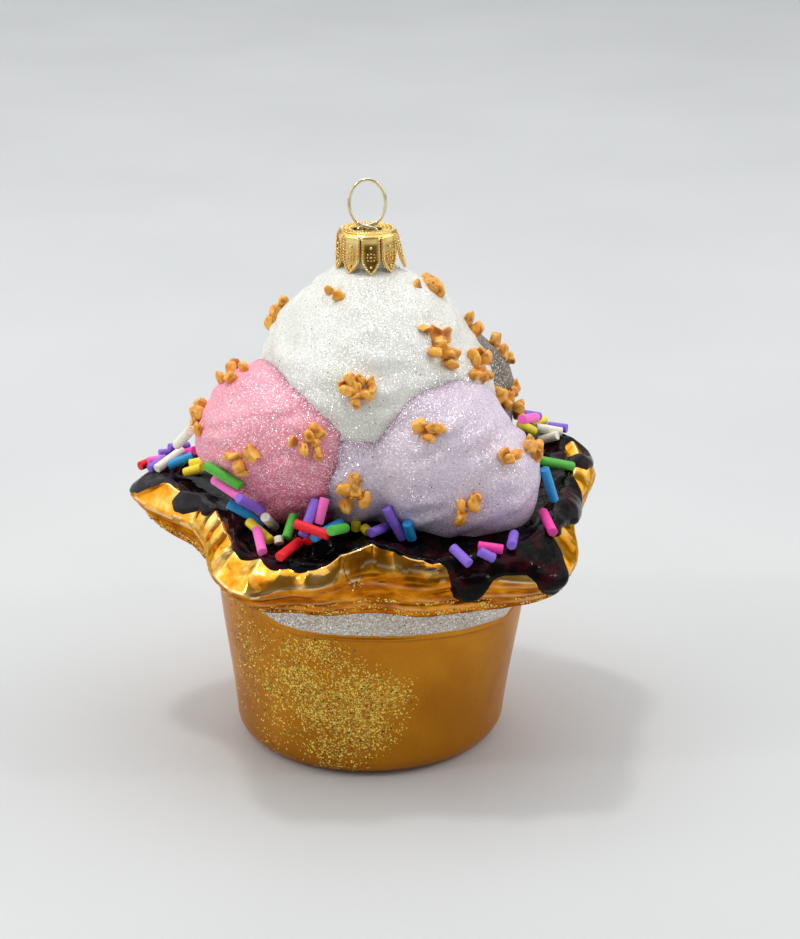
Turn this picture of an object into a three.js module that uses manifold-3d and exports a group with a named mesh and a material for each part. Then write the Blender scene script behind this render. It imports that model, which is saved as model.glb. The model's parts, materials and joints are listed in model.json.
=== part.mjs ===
// A hanging glass ornament in the shape of a waffle sundae: a painted cup, a five-cornered
// waffle pastry bowl, a pool of fudge sauce with sprinkles, four scoops with chopped nuts,
// and a crown cap with a wire ring on the glass neck.
//
// Millimetres, +Z up. The origin is the middle of the flat base that the cup stands on,
// and -Y is the front. A bearing is an angle about Z in degrees, from +X towards +Y, so
// that the front is at 270. The glass body is one blown piece that is painted in fields;
// each field is a solid of its own here, with a hair of air to its neighbours.

import * as THREE from 'three';
import { mergeVertices } from 'three/addons/utils/BufferGeometryUtils.js';
import Module from 'manifold-3d';

const solids = await Module();
solids.setup();

// ---------------------------------------------------------------- driving dimensions

const GAP = 0.3; // air between two painted fields
const DEG = Math.PI / 180;
const BEARINGS = 60; // steps of the round pieces about Z

const CUP = {
  footRadius: 26.9,
  filletSteps: 3,
  sides: 32,
  // radius at some heights above the fillet; the sides swell a little towards the rim
  profile: [[30.7, 4], [31.9, 14], [33, 22], [34.6, 33], [35.4, 44.3]],
  footShift: -0.45, // the axis leans a little, from this x at the foot
  rimShift: 0.45, // to this x at the rim
};

// Places where the folded pastry turns: its five corners and the edges between them.
// crest is the highest line, ridge the widest and foot the lower edge, each [radius, z].
const WAFFLE_STATIONS = [
  { bearing: 15, corner: true, crest: [48.5, 63], ridge: [52.5, 57.5], foot: [49, 50] },
  { bearing: 58, corner: false, crest: [40, 61], ridge: [43.5, 55], foot: [41, 48] },
  { bearing: 97, corner: true, crest: [45, 61], ridge: [53.5, 55], foot: [50, 49] },
  { bearing: 136, corner: false, crest: [40, 61], ridge: [43.5, 55], foot: [41, 48] },
  { bearing: 176, corner: true, crest: [48, 60], ridge: [54.8, 55.5], foot: [50.5, 50.5] },
  { bearing: 203, corner: false, crest: [37.8, 58.5], ridge: [41, 53.5], foot: [39.5, 47.5] },
  { bearing: 240, corner: true, crest: [45, 56.3], ridge: [52.3, 50.5], foot: [47.5, 45.3] },
  { bearing: 253, corner: false, crest: [44.5, 56.1], ridge: [47.8, 52], foot: [44.8, 45.1] },
  { bearing: 271, corner: false, crest: [39.8, 60], ridge: [42.5, 54.2], foot: [42, 45] },
  { bearing: 289, corner: false, crest: [44, 56.9], ridge: [45.7, 53.6], foot: [45.8, 44.9] },
  { bearing: 316, corner: true, crest: [48, 58.4], ridge: [56.3, 52], foot: [53.4, 46.6] },
  { bearing: 347, corner: false, crest: [43.5, 59.5], ridge: [46.8, 56.5], foot: [45, 49] },
];
const CORNER_SHARPNESS = 1.25;

const WAFFLE = {
  undersideHeight: 44.6,
  undersideRadius: 36.5,
  floorHeight: 50,
  floorRadius: 27,
  lipWidth: 2.6, // from the crest inwards, where the inner wall steepens
  lipDrop: 1.3,
  wallWidth: 7.5,
  wallDrop: 6,
  grooveDepth: 0.9,
  wallRows: [0.28, 0.48, 0.7], // share of the way up from the foot; every other one is a groove
  slopeBulge: 0.9,
};

const SAUCE = {
  level: 57.4,
  levelRadius: 27,
  belowCrest: 0.7,
  thickness: 1.5,
  rimThickness: 0.45,
  buried: 0.9, // how far the raw shape dips into the waffle
  innerReach: 9.5,
  topRows: [0.85, 0.3], // share of the way from the blend to the edge
  poolRow: 6.5, // from the crest inwards
  blend: 2.6, // from the crest inwards, where the pool turns into the layer that runs over
  restEdge: -1.2, // where the sauce stops when nothing runs over, from the crest outwards
  lumpHeight: 0.45,
  lumps: [[9, 0.35], [17, -0.5]], // two crossing waves: how many round the rim, radians a mm
};
// Where the sauce runs over the crest: bearing, half width in degrees, reach in mm.
const SAUCE_RUNS = [
  { bearing: 178, halfWidth: 13, reach: 7 },
  { bearing: 229, halfWidth: 12, reach: 3 },
  { bearing: 306, halfWidth: 17, reach: 7 },
  { bearing: 341, halfWidth: 18, reach: 6 },
  { bearing: 16, halfWidth: 14, reach: 7 },
  { bearing: 46, halfWidth: 16, reach: 4.5 },
  { bearing: 99, halfWidth: 14, reach: 5 },
  { bearing: 147, halfWidth: 12, reach: 4 },
];
// Fat drips that hang from the runs: bearing, distance of the middle from the crest, and
// half sizes along the rim, down the slope and off the surface.
const DRIPS = [
  { bearing: 188, distance: 2.5, along: 4, down: 4.5, off: 1.6 },
  { bearing: 295, distance: 4.6, along: 4.8, down: 5.6, off: 1.9 },
  { bearing: 314, distance: 6, along: 4.8, down: 5, off: 1.7 },
  { bearing: 72, distance: 3, along: 4.5, down: 5.5, off: 1.7 },
  { bearing: 147, distance: 4, along: 4, down: 5, off: 1.7 },
];

// Each scoop is a few balls melted into one lump. Its centre is where its radii are measured.
const SCOOPS = {
  vanilla: {
    centre: [0, 0.5, 84],
    balls: [
      { shift: [0, 0, 0], radius: 24 },
      { shift: [-1.5, -6, -4.5], radius: 23.2 },
      { shift: [7.8, -3.7, -4.3], radius: 19.6 },
    ],
  },
  strawberry: {
    centre: [-20.6, -13, 73.2],
    balls: [
      { shift: [0, 0, 0], radius: 17.2 },
      { shift: [6.5, -2.9, -1.2], radius: 16.6 },
    ],
  },
  blueberry: {
    centre: [12, -18.5, 68],
    balls: [
      { shift: [10.2, -0.6, -1.1], radius: 14.6 },
      { shift: [1.8, 1.5, 2.7], radius: 18.2 },
      { shift: [-14.8, -1.8, 1.9], radius: 12.2 },
    ],
  },
  chocolate: {
    centre: [14.5, 15, 73],
    balls: [
      { shift: [0, 0, 0], radius: 18.6 },
      { shift: [-14, 3, -1], radius: 16.5 },
      { shift: [-23, 3, -3], radius: 15 },
    ],
  },
};
const MELT = 0.9; // width of the soft join between the balls of a scoop
const SCOOP_DETAIL = 4;

const NECK = { radius: 4.9, bottom: 103, top: 115.3, sides: 20 };

// Clusters of chopped nuts: bearing and height angle from the scoop's centre, in degrees.
const NUT = {
  radius: 1.45,
  leastSize: 0.8, // share of the radius, plus up to the next
  sizeRange: 0.35,
  proportions: [2, 1.7, 1.5], // of the block, times its radius
  narrowEnd: 0.62,
  halfDiagonal: 1.1, // room that a turned block takes beside another scoop, times its radius
  standOff: 0.4, // how far the middle lies off the scoop, times its radius
  spacing: 1.9,
  patternRadius: 20, // the scoop radius that the spacing is measured at
  goldenTurn: 137.5,
};
const NUT_CLUSTERS = {
  vanilla: [
    { bearing: 173, rise: 32, count: 5 },
    { bearing: 235, rise: 58, count: 2 },
    { bearing: 345, rise: 57, count: 3 },
    { bearing: 313, rise: 29, count: 6 },
    { bearing: 3, rise: 27, count: 2 },
    { bearing: 338, rise: 15, count: 3 },
    { bearing: 334, rise: 9, count: 2 },
    { bearing: 265, rise: 11, count: 7 },
    { bearing: 40, rise: 45, count: 2 },
    { bearing: 85, rise: 33, count: 2 },
    { bearing: 130, rise: 48, count: 2 },
  ],
  strawberry: [
    { bearing: 164, rise: 59, count: 4 },
    { bearing: 178, rise: 21, count: 4 },
    { bearing: 293, rise: 17, count: 5 },
    { bearing: 246, rise: 4, count: 4 },
    { bearing: 128, rise: 20, count: 2 },
  ],
  blueberry: [
    { bearing: 224, rise: 5, count: 6 },
    { bearing: 269, rise: 46, count: 3 },
    { bearing: 296, rise: -6, count: 4 },
    { bearing: 330, rise: 21, count: 3 },
    { bearing: 352, rise: 17, count: 4 },
    { bearing: 13, rise: 38, count: 3 },
  ],
  chocolate: [
    { bearing: 345, rise: 40, count: 4 },
    { bearing: 348, rise: 12, count: 3 },
    { bearing: 30, rise: 20, count: 2 },
    { bearing: 75, rise: 40, count: 2 },
    { bearing: 105, rise: 8, count: 2 },
  ],
};

const SPRINKLE = { radius: 1.05, sides: 5, sink: 0.3 };
// The sprinkles that lie round the front, by hand: bearing, distance from the axis, heading
// (0 points outwards, 90 runs along the rim), length, and how steeply the outer end dips.
const FRONT_SPRINKLES = [
  [169, 48, 75, 7.5, 0], [171, 51, 55, 4, 0], [164, 45, 65, 8, 0], [162, 49.5, 40, 4.5, 0],
  [166, 41, 47, 4, 0], [173, 40.5, 48, 4.5, 0], [187, 36, 120, 8.5, 8], [197, 35.5, 118, 8, 8],
  [213, 33.5, 98, 8.5, 4], [221, 36.5, 86, 9, 8], [231, 35, 62, 5, 8], [236, 39.5, 68, 8, 10],
  [241, 43, 38, 8, 12], [243, 40, 34, 4, 0], [243, 35.5, 19, 8, 14], [249, 43, -8, 8, 0],
  [249, 35.5, 78, 8.5, 0], [252, 38.5, 13, 3, 0], [247, 34, -4, 8.5, 40], [255, 34.5, -30, 8, 5],
  [259, 33, -50, 4, 0], [265, 32.5, 7, 4.5, 0], [269, 33.5, 22, 3, 0], [274, 33.5, -45, 5, 0],
  [279, 34.5, 20, 8.5, 32], [285, 35, -8, 6, 10], [292, 43.5, -3, 7, 0], [301, 42.5, 40, 5.5, 0],
  [299, 45.5, 8, 4.5, 0], [309, 42, -47, 5, 0], [323, 43, -40, 7, 10], [347, 40.5, -62, 8.5, 20],
  [11, 42.5, -40, 8, 0], [27, 43, -10, 6, 0], [32, 41.5, -75, 6.5, 0],
];
// Round the back the sprinkles follow a rule, with a fixed seed for what varies.
const BACK_SPRINKLES = {
  from: 48,
  to: 152,
  count: 7,
  wobble: 4, // degrees
  inner: 37.5,
  outer: 43.5,
  rowShare: 0.4, // share of that width for the inner and for the outer row
  shortest: 4.5,
  longest: 8.5,
};
const SEED = 20;

const CAP = {
  centreX: -0.5,
  radius: 6.3,
  top: 117,
  bandBottom: 113.6,
  wall: 0.6,
  edgeRound: 0.6,
  petals: 9,
  petalPhase: 277,
  petalWidth: 3.7,
  petalRoot: 114.4,
  petalShoulder: 110.4, // the lowest place of full width
  petalTaper: 109.3, // from here the sides run straight to the point
  petalBottom: 108.5,
  rootWidth: 0.92, // share of the full width
  taperWidth: 0.55,
  petalFlare: 5, // degrees outwards from the root
  bentPetal: 2, // the petal that stands off, counted from the front one
  bentFlare: 13,
  slotWidth: 2.7,
  slotDepth: 2.4,
  slotOffset: 1.75,
  sides: 24,
};
const RING = {
  wireRadius: 0.35,
  halfWidth: 3.95,
  bottom: 118.1,
  top: 127.6,
  opening: 38, // degrees from straight down where the round part starts on each side
  legEnd: 115.9,
  legTop: 117.5, // where a leg comes out of its slot
  legSpread: 1.75,
  legStagger: 0.5, // half the distance that keeps the crossing legs apart, along Y
  quarterSides: 2,
  steps: 24,
};

// ---------------------------------------------------------------- small helpers

function seededRandom(seed) {
  let state = seed;
  return () => {
    state = (state * 1664525 + 1013904223) % 4294967296;
    return state / 4294967296;
  };
}

function mix(a, b, share) {
  return a + (b - a) * share;
}

function mixPair(a, b, share) {
  return [mix(a[0], b[0], share), mix(a[1], b[1], share)];
}

function clamp(share) {
  return Math.max(0, Math.min(1, share));
}

function direction(bearing, rise) {
  const flat = Math.cos(rise * DEG);
  return new THREE.Vector3(
    flat * Math.cos(bearing * DEG),
    flat * Math.sin(bearing * DEG),
    Math.sin(rise * DEG),
  );
}

// Signed turn in degrees from one bearing to another, between -180 and 180.
function turn(from, to) {
  return ((to - from + 540) % 360) - 180;
}

function toSolid(geometry) {
  const plain = geometry.index ? geometry.clone() : geometry;
  plain.deleteAttribute('normal');
  plain.deleteAttribute('uv');
  const merged = mergeVertices(plain, 1e-4);
  return new solids.Manifold(new solids.Mesh({
    numProp: 3,
    vertProperties: new Float32Array(merged.attributes.position.array),
    triVerts: new Uint32Array(merged.index.array),
  }));
}

function toGeometry(solid) {
  const mesh = solid.getMesh();
  const geometry = new THREE.BufferGeometry();
  geometry.setAttribute('position', new THREE.BufferAttribute(mesh.vertProperties, 3));
  geometry.setIndex(new THREE.BufferAttribute(mesh.triVerts, 1));
  return geometry;
}

function largestBody(solid) {
  const bodies = solid.decompose();
  return bodies.reduce((best, body) => (body.volume() > best.volume() ? body : best));
}

// A closed body from one half section for each bearing. A section runs from the axis at
// the bottom, outwards, up and back to the axis at the top, as [radius, z] pairs.
function polarLoft(sectionAt, steps) {
  const sections = [];
  for (let i = 0; i < steps; i += 1) {
    sections.push(sectionAt((360 * i) / steps));
  }
  const rows = sections[0].length;
  const positions = [0, 0, sections[0][0][1], 0, 0, sections[0][rows - 1][1]];
  for (let row = 1; row < rows - 1; row += 1) {
    for (let i = 0; i < steps; i += 1) {
      const [radius, z] = sections[i][row];
      const angle = (2 * Math.PI * i) / steps;
      positions.push(radius * Math.cos(angle), radius * Math.sin(angle), z);
    }
  }
  const at = (row, i) => 2 + (row - 1) * steps + (i % steps);
  const faces = [];
  for (let i = 0; i < steps; i += 1) {
    faces.push(0, at(1, i + 1), at(1, i));
    faces.push(1, at(rows - 2, i), at(rows - 2, i + 1));
    for (let row = 1; row < rows - 2; row += 1) {
      faces.push(at(row, i), at(row, i + 1), at(row + 1, i + 1));
      faces.push(at(row, i), at(row + 1, i + 1), at(row + 1, i));
    }
  }
  const geometry = new THREE.BufferGeometry();
  geometry.setAttribute('position', new THREE.Float32BufferAttribute(positions, 3));
  geometry.setIndex(faces);
  return geometry;
}

// ---------------------------------------------------------------- cup

function cupGeometry() {
  const [heelRadius, heelHeight] = CUP.profile[0];
  const fillet = [];
  for (let i = 0; i < CUP.filletSteps; i += 1) {
    const angle = (Math.PI / 2) * (i / CUP.filletSteps);
    fillet.push([
      mix(CUP.footRadius, heelRadius, Math.sin(angle)),
      heelHeight * (1 - Math.cos(angle)),
    ]);
  }
  const [, rimHeight] = CUP.profile[CUP.profile.length - 1];
  const section = [[0, 0], ...fillet, ...CUP.profile, [0, rimHeight]];
  const geometry = polarLoft(() => section, CUP.sides);
  const position = geometry.attributes.position;
  for (let i = 0; i < position.count; i += 1) {
    const shift = mix(CUP.footShift, CUP.rimShift, position.getZ(i) / rimHeight);
    position.setX(i, position.getX(i) + shift);
  }
  return geometry;
}

// ---------------------------------------------------------------- waffle bowl

function waffleAt(bearing) {
  const count = WAFFLE_STATIONS.length;
  for (let i = 0; i < count; i += 1) {
    const from = WAFFLE_STATIONS[i];
    const to = WAFFLE_STATIONS[(i + 1) % count];
    const span = (to.bearing - from.bearing + 360) % 360;
    const along = (bearing - from.bearing + 360) % 360;
    if (along < span) {
      let share = (1 - Math.cos((Math.PI * along) / span)) / 2;
      share = from.corner ? 1 - (1 - share) ** CORNER_SHARPNESS : share;
      share = to.corner ? share ** CORNER_SHARPNESS : share;
      return {
        crest: mixPair(from.crest, to.crest, share),
        ridge: mixPair(from.ridge, to.ridge, share),
        foot: mixPair(from.foot, to.foot, share),
      };
    }
  }
  return WAFFLE_STATIONS[0];
}

// The upper side of a section, from the middle of the floor out over the crest to the ridge.
const CREST_ROW = 4;

function waffleTop(bearing) {
  const { crest, ridge } = waffleAt(bearing);
  const slope = mixPair(ridge, crest, 0.5);
  return [
    [0, WAFFLE.floorHeight],
    [WAFFLE.floorRadius, WAFFLE.floorHeight],
    [crest[0] - WAFFLE.wallWidth, crest[1] - WAFFLE.wallDrop],
    [crest[0] - WAFFLE.lipWidth, crest[1] - WAFFLE.lipDrop],
    crest,
    [slope[0] + WAFFLE.slopeBulge, slope[1] + WAFFLE.slopeBulge / 2],
    ridge,
  ];
}

function waffleSection(bearing) {
  const { ridge, foot } = waffleAt(bearing);
  const wall = WAFFLE.wallRows.map((place, i) => {
    const [radius, z] = mixPair(foot, ridge, place);
    return i % 2 === 0 ? [radius - WAFFLE.grooveDepth, z] : [radius, z];
  });
  return [
    [0, WAFFLE.undersideHeight],
    [WAFFLE.undersideRadius, WAFFLE.undersideHeight],
    foot,
    ...wall,
    ...waffleTop(bearing).reverse(),
  ];
}

// The same section moved outwards by a distance, square to its sides.
function grownSection(section, distance) {
  const last = section.length - 1;
  return section.map(([radius, z], i) => {
    if (i === 0) return [0, z - distance];
    if (i === last) return [0, z + distance];
    const [beforeRadius, beforeZ] = section[i - 1];
    const [afterRadius, afterZ] = section[i + 1];
    const length = Math.hypot(afterRadius - beforeRadius, afterZ - beforeZ);
    const outRadius = (afterZ - beforeZ) / length;
    const outZ = -(afterRadius - beforeRadius) / length;
    return [radius + outRadius * distance, z + outZ * distance];
  });
}

function waffleGeometry(grow) {
  return polarLoft((bearing) => grownSection(waffleSection(bearing), grow), BEARINGS);
}

// ---------------------------------------------------------------- fudge sauce

// How far out the sauce reaches, in mm along the waffle from its crest.
function sauceEdge(bearing) {
  let edge = SAUCE.restEdge;
  for (const run of SAUCE_RUNS) {
    const offset = Math.abs(turn(run.bearing, bearing)) / run.halfWidth;
    if (offset < 1) {
      edge = Math.max(edge, SAUCE.restEdge + run.reach * Math.sqrt(1 - offset * offset));
    }
  }
  return edge;
}

// A point this many mm outwards of the crest, measured along the waffle's upper side and on
// down its wall, lifted square off the surface.
function overWaffle(bearing, distance, lift) {
  const path = [...waffleTop(bearing), waffleAt(bearing).foot];
  const lengths = path.slice(1).map(([r, z], i) => Math.hypot(r - path[i][0], z - path[i][1]));
  let left = distance + lengths.slice(0, CREST_ROW).reduce((sum, length) => sum + length, 0);
  let side = 0;
  while (side < lengths.length - 1 && left > lengths[side]) {
    left -= lengths[side];
    side += 1;
  }
  const [fromRadius, fromZ] = path[side];
  const [toRadius, toZ] = path[side + 1];
  const [radius, z] = mixPair(path[side], path[side + 1], left / lengths[side]);
  return [
    radius - (lift * (toZ - fromZ)) / lengths[side],
    z + (lift * (toRadius - fromRadius)) / lengths[side],
  ];
}

// The pool is level round the scoops and climbs a little where it clings to the crest.
function poolLevel(bearing, radius) {
  const [crestRadius, crestHeight] = waffleAt(bearing).crest;
  const share = clamp((radius - SAUCE.levelRadius) / (crestRadius - SAUCE.levelRadius));
  const climb = share * share * (3 - 2 * share);
  const wave = SAUCE.lumps.reduce(
    (sum, [around, outwards]) => sum + Math.sin(bearing * DEG * around + radius * outwards) / 2,
    0,
  );
  return mix(SAUCE.level, crestHeight - SAUCE.belowCrest, climb) + SAUCE.lumpHeight * wave;
}

// The raw section dips into the waffle under it, which is cut away to fit later.
function sauceSection(bearing) {
  const edge = sauceEdge(bearing);
  const { crest } = waffleAt(bearing);
  const bottom = WAFFLE.floorHeight - SAUCE.buried;
  const over = clamp((edge - SAUCE.restEdge) / SAUCE.blend);
  const lift = GAP + mix(SAUCE.rimThickness, SAUCE.thickness, over);
  const top = SAUCE.topRows.map((share) => overWaffle(bearing, mix(-SAUCE.blend, edge, share), lift));
  const poolRadius = crest[0] - SAUCE.poolRow;
  return [
    [0, bottom],
    [crest[0] - SAUCE.innerReach, bottom],
    overWaffle(bearing, edge, -SAUCE.buried),
    overWaffle(bearing, edge, GAP + SAUCE.rimThickness),
    ...top,
    [poolRadius, poolLevel(bearing, poolRadius)],
    [0, SAUCE.level],
  ];
}

function dripGeometry({ bearing, distance, along, down, off }) {
  const drip = new THREE.IcosahedronGeometry(1, 1);
  const [radius, z] = overWaffle(bearing, distance, 0);
  const [outRadius, outZ] = overWaffle(bearing, distance, 1);
  const slope = Math.atan2(outZ - z, outRadius - radius);
  drip.scale(off, along, down);
  drip.rotateY(-slope);
  drip.translate(radius, 0, z);
  drip.rotateZ(bearing * DEG);
  return drip;
}

function sprinkleGeometry(bearing, radius, heading, length, dip) {
  const geometry = new THREE.CylinderGeometry(
    SPRINKLE.radius, SPRINKLE.radius, length, SPRINKLE.sides, 1,
  );
  geometry.rotateZ(-90 * DEG);
  geometry.rotateY(dip * DEG);
  geometry.rotateZ((bearing + heading) * DEG);
  const rise = (Math.sin(dip * DEG) * length) / 2;
  const height = poolLevel(bearing, radius) + SPRINKLE.radius - SPRINKLE.sink + rise;
  geometry.translate(radius * Math.cos(bearing * DEG), radius * Math.sin(bearing * DEG), height);
  return geometry;
}

function backSprinkles() {
  const random = seededRandom(SEED);
  const rows = [];
  const { from, to, count, wobble, inner, outer, rowShare, shortest, longest } = BACK_SPRINKLES;
  for (let i = 0; i < count; i += 1) {
    const bearing = mix(from, to, (i + 0.5) / count) + (random() - 0.5) * wobble;
    const across = random() * rowShare;
    const radius = mix(inner, outer, i % 2 ? across : 1 - across);
    const heading = random() * 180;
    rows.push([bearing, radius, heading, mix(shortest, longest, random()), 0]);
  }
  return rows;
}

// ---------------------------------------------------------------- scoops

// How far a scoop reaches from its centre: the farthest of its balls, with soft joins.
function scoopReach(scoop, toward) {
  const reaches = scoop.balls.map(({ shift, radius }) => {
    const offset = new THREE.Vector3(...shift);
    const along = offset.dot(toward);
    const inside = along * along - offset.lengthSq() + radius * radius;
    return inside > 0 ? along + Math.sqrt(inside) : 0;
  });
  const highest = Math.max(...reaches);
  const sum = reaches.reduce((total, reach) => total + Math.exp((reach - highest) / MELT), 0);
  return highest + MELT * Math.log(sum);
}

function scoopGeometry(scoop, grow) {
  const geometry = new THREE.IcosahedronGeometry(1, SCOOP_DETAIL);
  const position = geometry.attributes.position;
  const toward = new THREE.Vector3();
  const [x, y, z] = scoop.centre;
  for (let i = 0; i < position.count; i += 1) {
    toward.fromBufferAttribute(position, i).normalize();
    const reach = scoopReach(scoop, toward) + grow;
    position.setXYZ(i, x + toward.x * reach, y + toward.y * reach, z + toward.z * reach);
  }
  return geometry;
}

function neckGeometry() {
  const height = NECK.top - NECK.bottom;
  const geometry = new THREE.CylinderGeometry(NECK.radius, NECK.radius, height, NECK.sides, 1);
  geometry.rotateX(90 * DEG);
  geometry.translate(CAP.centreX, 0, NECK.bottom + height / 2);
  return geometry;
}

function isClearOfOthers(place, radius, ownName) {
  const offset = new THREE.Vector3();
  return Object.entries(SCOOPS).every(([name, scoop]) => {
    if (name === ownName) return true;
    offset.copy(place).sub(new THREE.Vector3(...scoop.centre));
    const away = offset.length();
    return away > scoopReach(scoop, offset.normalize()) + radius + GAP;
  });
}

// A chopped piece: a block that narrows to one end, turned at random.
function chunkGeometry(size, random) {
  const chunk = new THREE.BoxGeometry(...NUT.proportions.map((share) => share * size));
  const position = chunk.attributes.position;
  for (let i = 0; i < position.count; i += 1) {
    const narrow = position.getX(i) > 0 ? NUT.narrowEnd : 1;
    position.setY(i, position.getY(i) * narrow);
    position.setZ(i, position.getZ(i) * narrow);
  }
  chunk.rotateX(random() * Math.PI);
  chunk.rotateY(random() * Math.PI);
  chunk.rotateZ(random() * Math.PI);
  return chunk;
}

// The nuts of a cluster sit in a sunflower pattern about its middle.
function nutGeometries(name, random) {
  const scoop = SCOOPS[name];
  const centre = new THREE.Vector3(...scoop.centre);
  const nuts = [];
  for (const cluster of NUT_CLUSTERS[name]) {
    const middle = direction(cluster.bearing, cluster.rise);
    const across = new THREE.Vector3(0, 0, 1).cross(middle).normalize();
    const up = middle.clone().cross(across);
    for (let i = 0; i < cluster.count; i += 1) {
      const spread = (NUT.spacing * Math.sqrt(i + 0.2)) / NUT.patternRadius;
      const angle = (i * NUT.goldenTurn + cluster.bearing) * DEG;
      const toward = middle.clone()
        .addScaledVector(across, Math.cos(angle) * spread)
        .addScaledVector(up, Math.sin(angle) * spread)
        .normalize();
      const size = NUT.radius * (NUT.leastSize + random() * NUT.sizeRange);
      const reach = scoopReach(scoop, toward) + size * NUT.standOff;
      const place = centre.clone().addScaledVector(toward, reach);
      const nut = chunkGeometry(size, random);
      nut.translate(place.x, place.y, place.z);
      if (isClearOfOthers(place, size * NUT.halfDiagonal, name)) {
        nuts.push(nut);
      }
    }
  }
  return nuts;
}

// ---------------------------------------------------------------- crown cap

function petalGeometry(index) {
  const half = CAP.petalWidth / 2;
  const side = [
    [half * CAP.rootWidth, CAP.petalRoot],
    [half, CAP.petalShoulder],
    [half * CAP.taperWidth, CAP.petalTaper],
  ];
  const outline = new THREE.Shape([
    ...side.map(([x, z]) => new THREE.Vector2(-x, z - CAP.petalRoot)),
    new THREE.Vector2(0, CAP.petalBottom - CAP.petalRoot),
    ...side.reverse().map(([x, z]) => new THREE.Vector2(x, z - CAP.petalRoot)),
  ]);
  const geometry = new THREE.ExtrudeGeometry(outline, { depth: CAP.wall, bevelEnabled: false });
  geometry.rotateX(90 * DEG);
  geometry.rotateZ(90 * DEG);
  const flare = index === CAP.bentPetal ? CAP.bentFlare : CAP.petalFlare;
  geometry.rotateY(-flare * DEG);
  geometry.translate(CAP.radius - CAP.wall, 0, CAP.petalRoot);
  geometry.rotateZ((CAP.petalPhase + (360 / CAP.petals) * index) * DEG);
  geometry.translate(CAP.centreX, 0, 0);
  return geometry;
}

function capSolid() {
  const outer = CAP.radius;
  const inner = CAP.radius - CAP.wall;
  const profile = [
    [0, CAP.top - CAP.wall],
    [inner, CAP.top - CAP.wall],
    [inner, CAP.bandBottom],
    [outer, CAP.bandBottom],
    [outer, CAP.top - CAP.edgeRound],
    [outer - CAP.edgeRound, CAP.top],
    [0, CAP.top],
  ];
  const shell = new THREE.LatheGeometry(profile.map(([r, z]) => new THREE.Vector2(r, z)), CAP.sides);
  shell.rotateX(90 * DEG);
  shell.translate(CAP.centreX, 0, 0);
  let solid = toSolid(shell);
  for (let i = 0; i < CAP.petals; i += 1) {
    solid = solid.add(toSolid(petalGeometry(i)));
  }
  for (const side of [-1, 1]) {
    const slot = new THREE.BoxGeometry(CAP.slotWidth, CAP.slotDepth, 4 * CAP.wall);
    slot.translate(CAP.centreX + side * CAP.slotOffset, 0, CAP.top - CAP.wall / 2);
    solid = solid.subtract(toSolid(slot));
  }
  return solid;
}

// ---------------------------------------------------------------- wire ring

function ringGeometry() {
  const middle = (RING.top + RING.bottom) / 2;
  const half = (RING.top - RING.bottom) / 2 - RING.wireRadius;
  const arcSteps = 14;
  const arc = 360 - 2 * RING.opening;
  const points = [];
  for (let i = 0; i <= arcSteps; i += 1) {
    const angle = (-90 - RING.opening - (arc * i) / arcSteps) * DEG;
    points.push(new THREE.Vector3(
      CAP.centreX + RING.halfWidth * Math.cos(angle),
      mix(-RING.legStagger, RING.legStagger, i / arcSteps),
      middle + half * Math.sin(angle),
    ));
  }
  const leg = (side, z) => {
    const x = CAP.centreX + side * RING.legSpread;
    return new THREE.Vector3(x, -side * RING.legStagger, z);
  };
  points.unshift(leg(1, RING.legEnd), leg(1, RING.legTop));
  points.push(leg(-1, RING.legTop), leg(-1, RING.legEnd));
  const section = new THREE.Shape();
  section.absarc(0, 0, RING.wireRadius, 0, 2 * Math.PI);
  return new THREE.ExtrudeGeometry(section, {
    curveSegments: 2 * RING.quarterSides,
    steps: RING.steps,
    extrudePath: new THREE.CatmullRomCurve3(points),
  });
}

// ---------------------------------------------------------------- assembly

function paint(colour, roughness, metalness) {
  return new THREE.MeshStandardMaterial({ color: colour, roughness, metalness });
}

const sundae = new THREE.Group();

function addPiece(name, geometry, material) {
  const piece = new THREE.Mesh(geometry, material);
  piece.name = name;
  sundae.add(piece);
}

addPiece('cup', cupGeometry(), paint('#b9762a', 0.3, 0.4));
addPiece('waffle_bowl', waffleGeometry(0), paint('#d98a1c', 0.12, 0.8));

// A later scoop makes room for the ones before it.
const random = seededRandom(SEED + 1);
const scoopPaint = {
  vanilla: paint('#eef0ea', 0.5, 0),
  strawberry: paint('#e58aa6', 0.5, 0),
  blueberry: paint('#c3b3cf', 0.5, 0),
  chocolate: paint('#6e655e', 0.5, 0),
};
const scoopCutters = [];
for (const name of Object.keys(SCOOPS)) {
  let body = toSolid(scoopGeometry(SCOOPS[name], 0));
  for (const cutter of scoopCutters) {
    body = body.subtract(cutter);
  }
  body = largestBody(body);
  if (name === 'vanilla') {
    body = body.add(toSolid(neckGeometry()));
  }
  for (const nut of nutGeometries(name, random)) {
    body = body.add(toSolid(nut));
  }
  addPiece(`${name}_scoop`, toGeometry(largestBody(body)), scoopPaint[name]);
  scoopCutters.push(toSolid(scoopGeometry(SCOOPS[name], GAP)));
}

let sauce = toSolid(polarLoft(sauceSection, BEARINGS));
for (const drip of DRIPS) {
  sauce = sauce.add(toSolid(dripGeometry(drip)));
}
for (const row of [...FRONT_SPRINKLES, ...backSprinkles()]) {
  sauce = sauce.add(toSolid(sprinkleGeometry(...row)));
}
sauce = sauce.subtract(toSolid(waffleGeometry(GAP)));
for (const cutter of scoopCutters) {
  sauce = sauce.subtract(cutter);
}
addPiece('fudge_sauce', toGeometry(largestBody(sauce)), paint('#20110e', 0.15, 0));

addPiece('hanger_cap', toGeometry(largestBody(capSolid())), paint('#c9a04a', 0.25, 1));
addPiece('hanger_ring', ringGeometry(), paint('#b8a06a', 0.25, 1));

export default sundae;
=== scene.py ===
import json
import math

import bmesh
import bpy
import numpy as np
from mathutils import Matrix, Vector, noise
from mathutils.bvhtree import BVHTree

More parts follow.
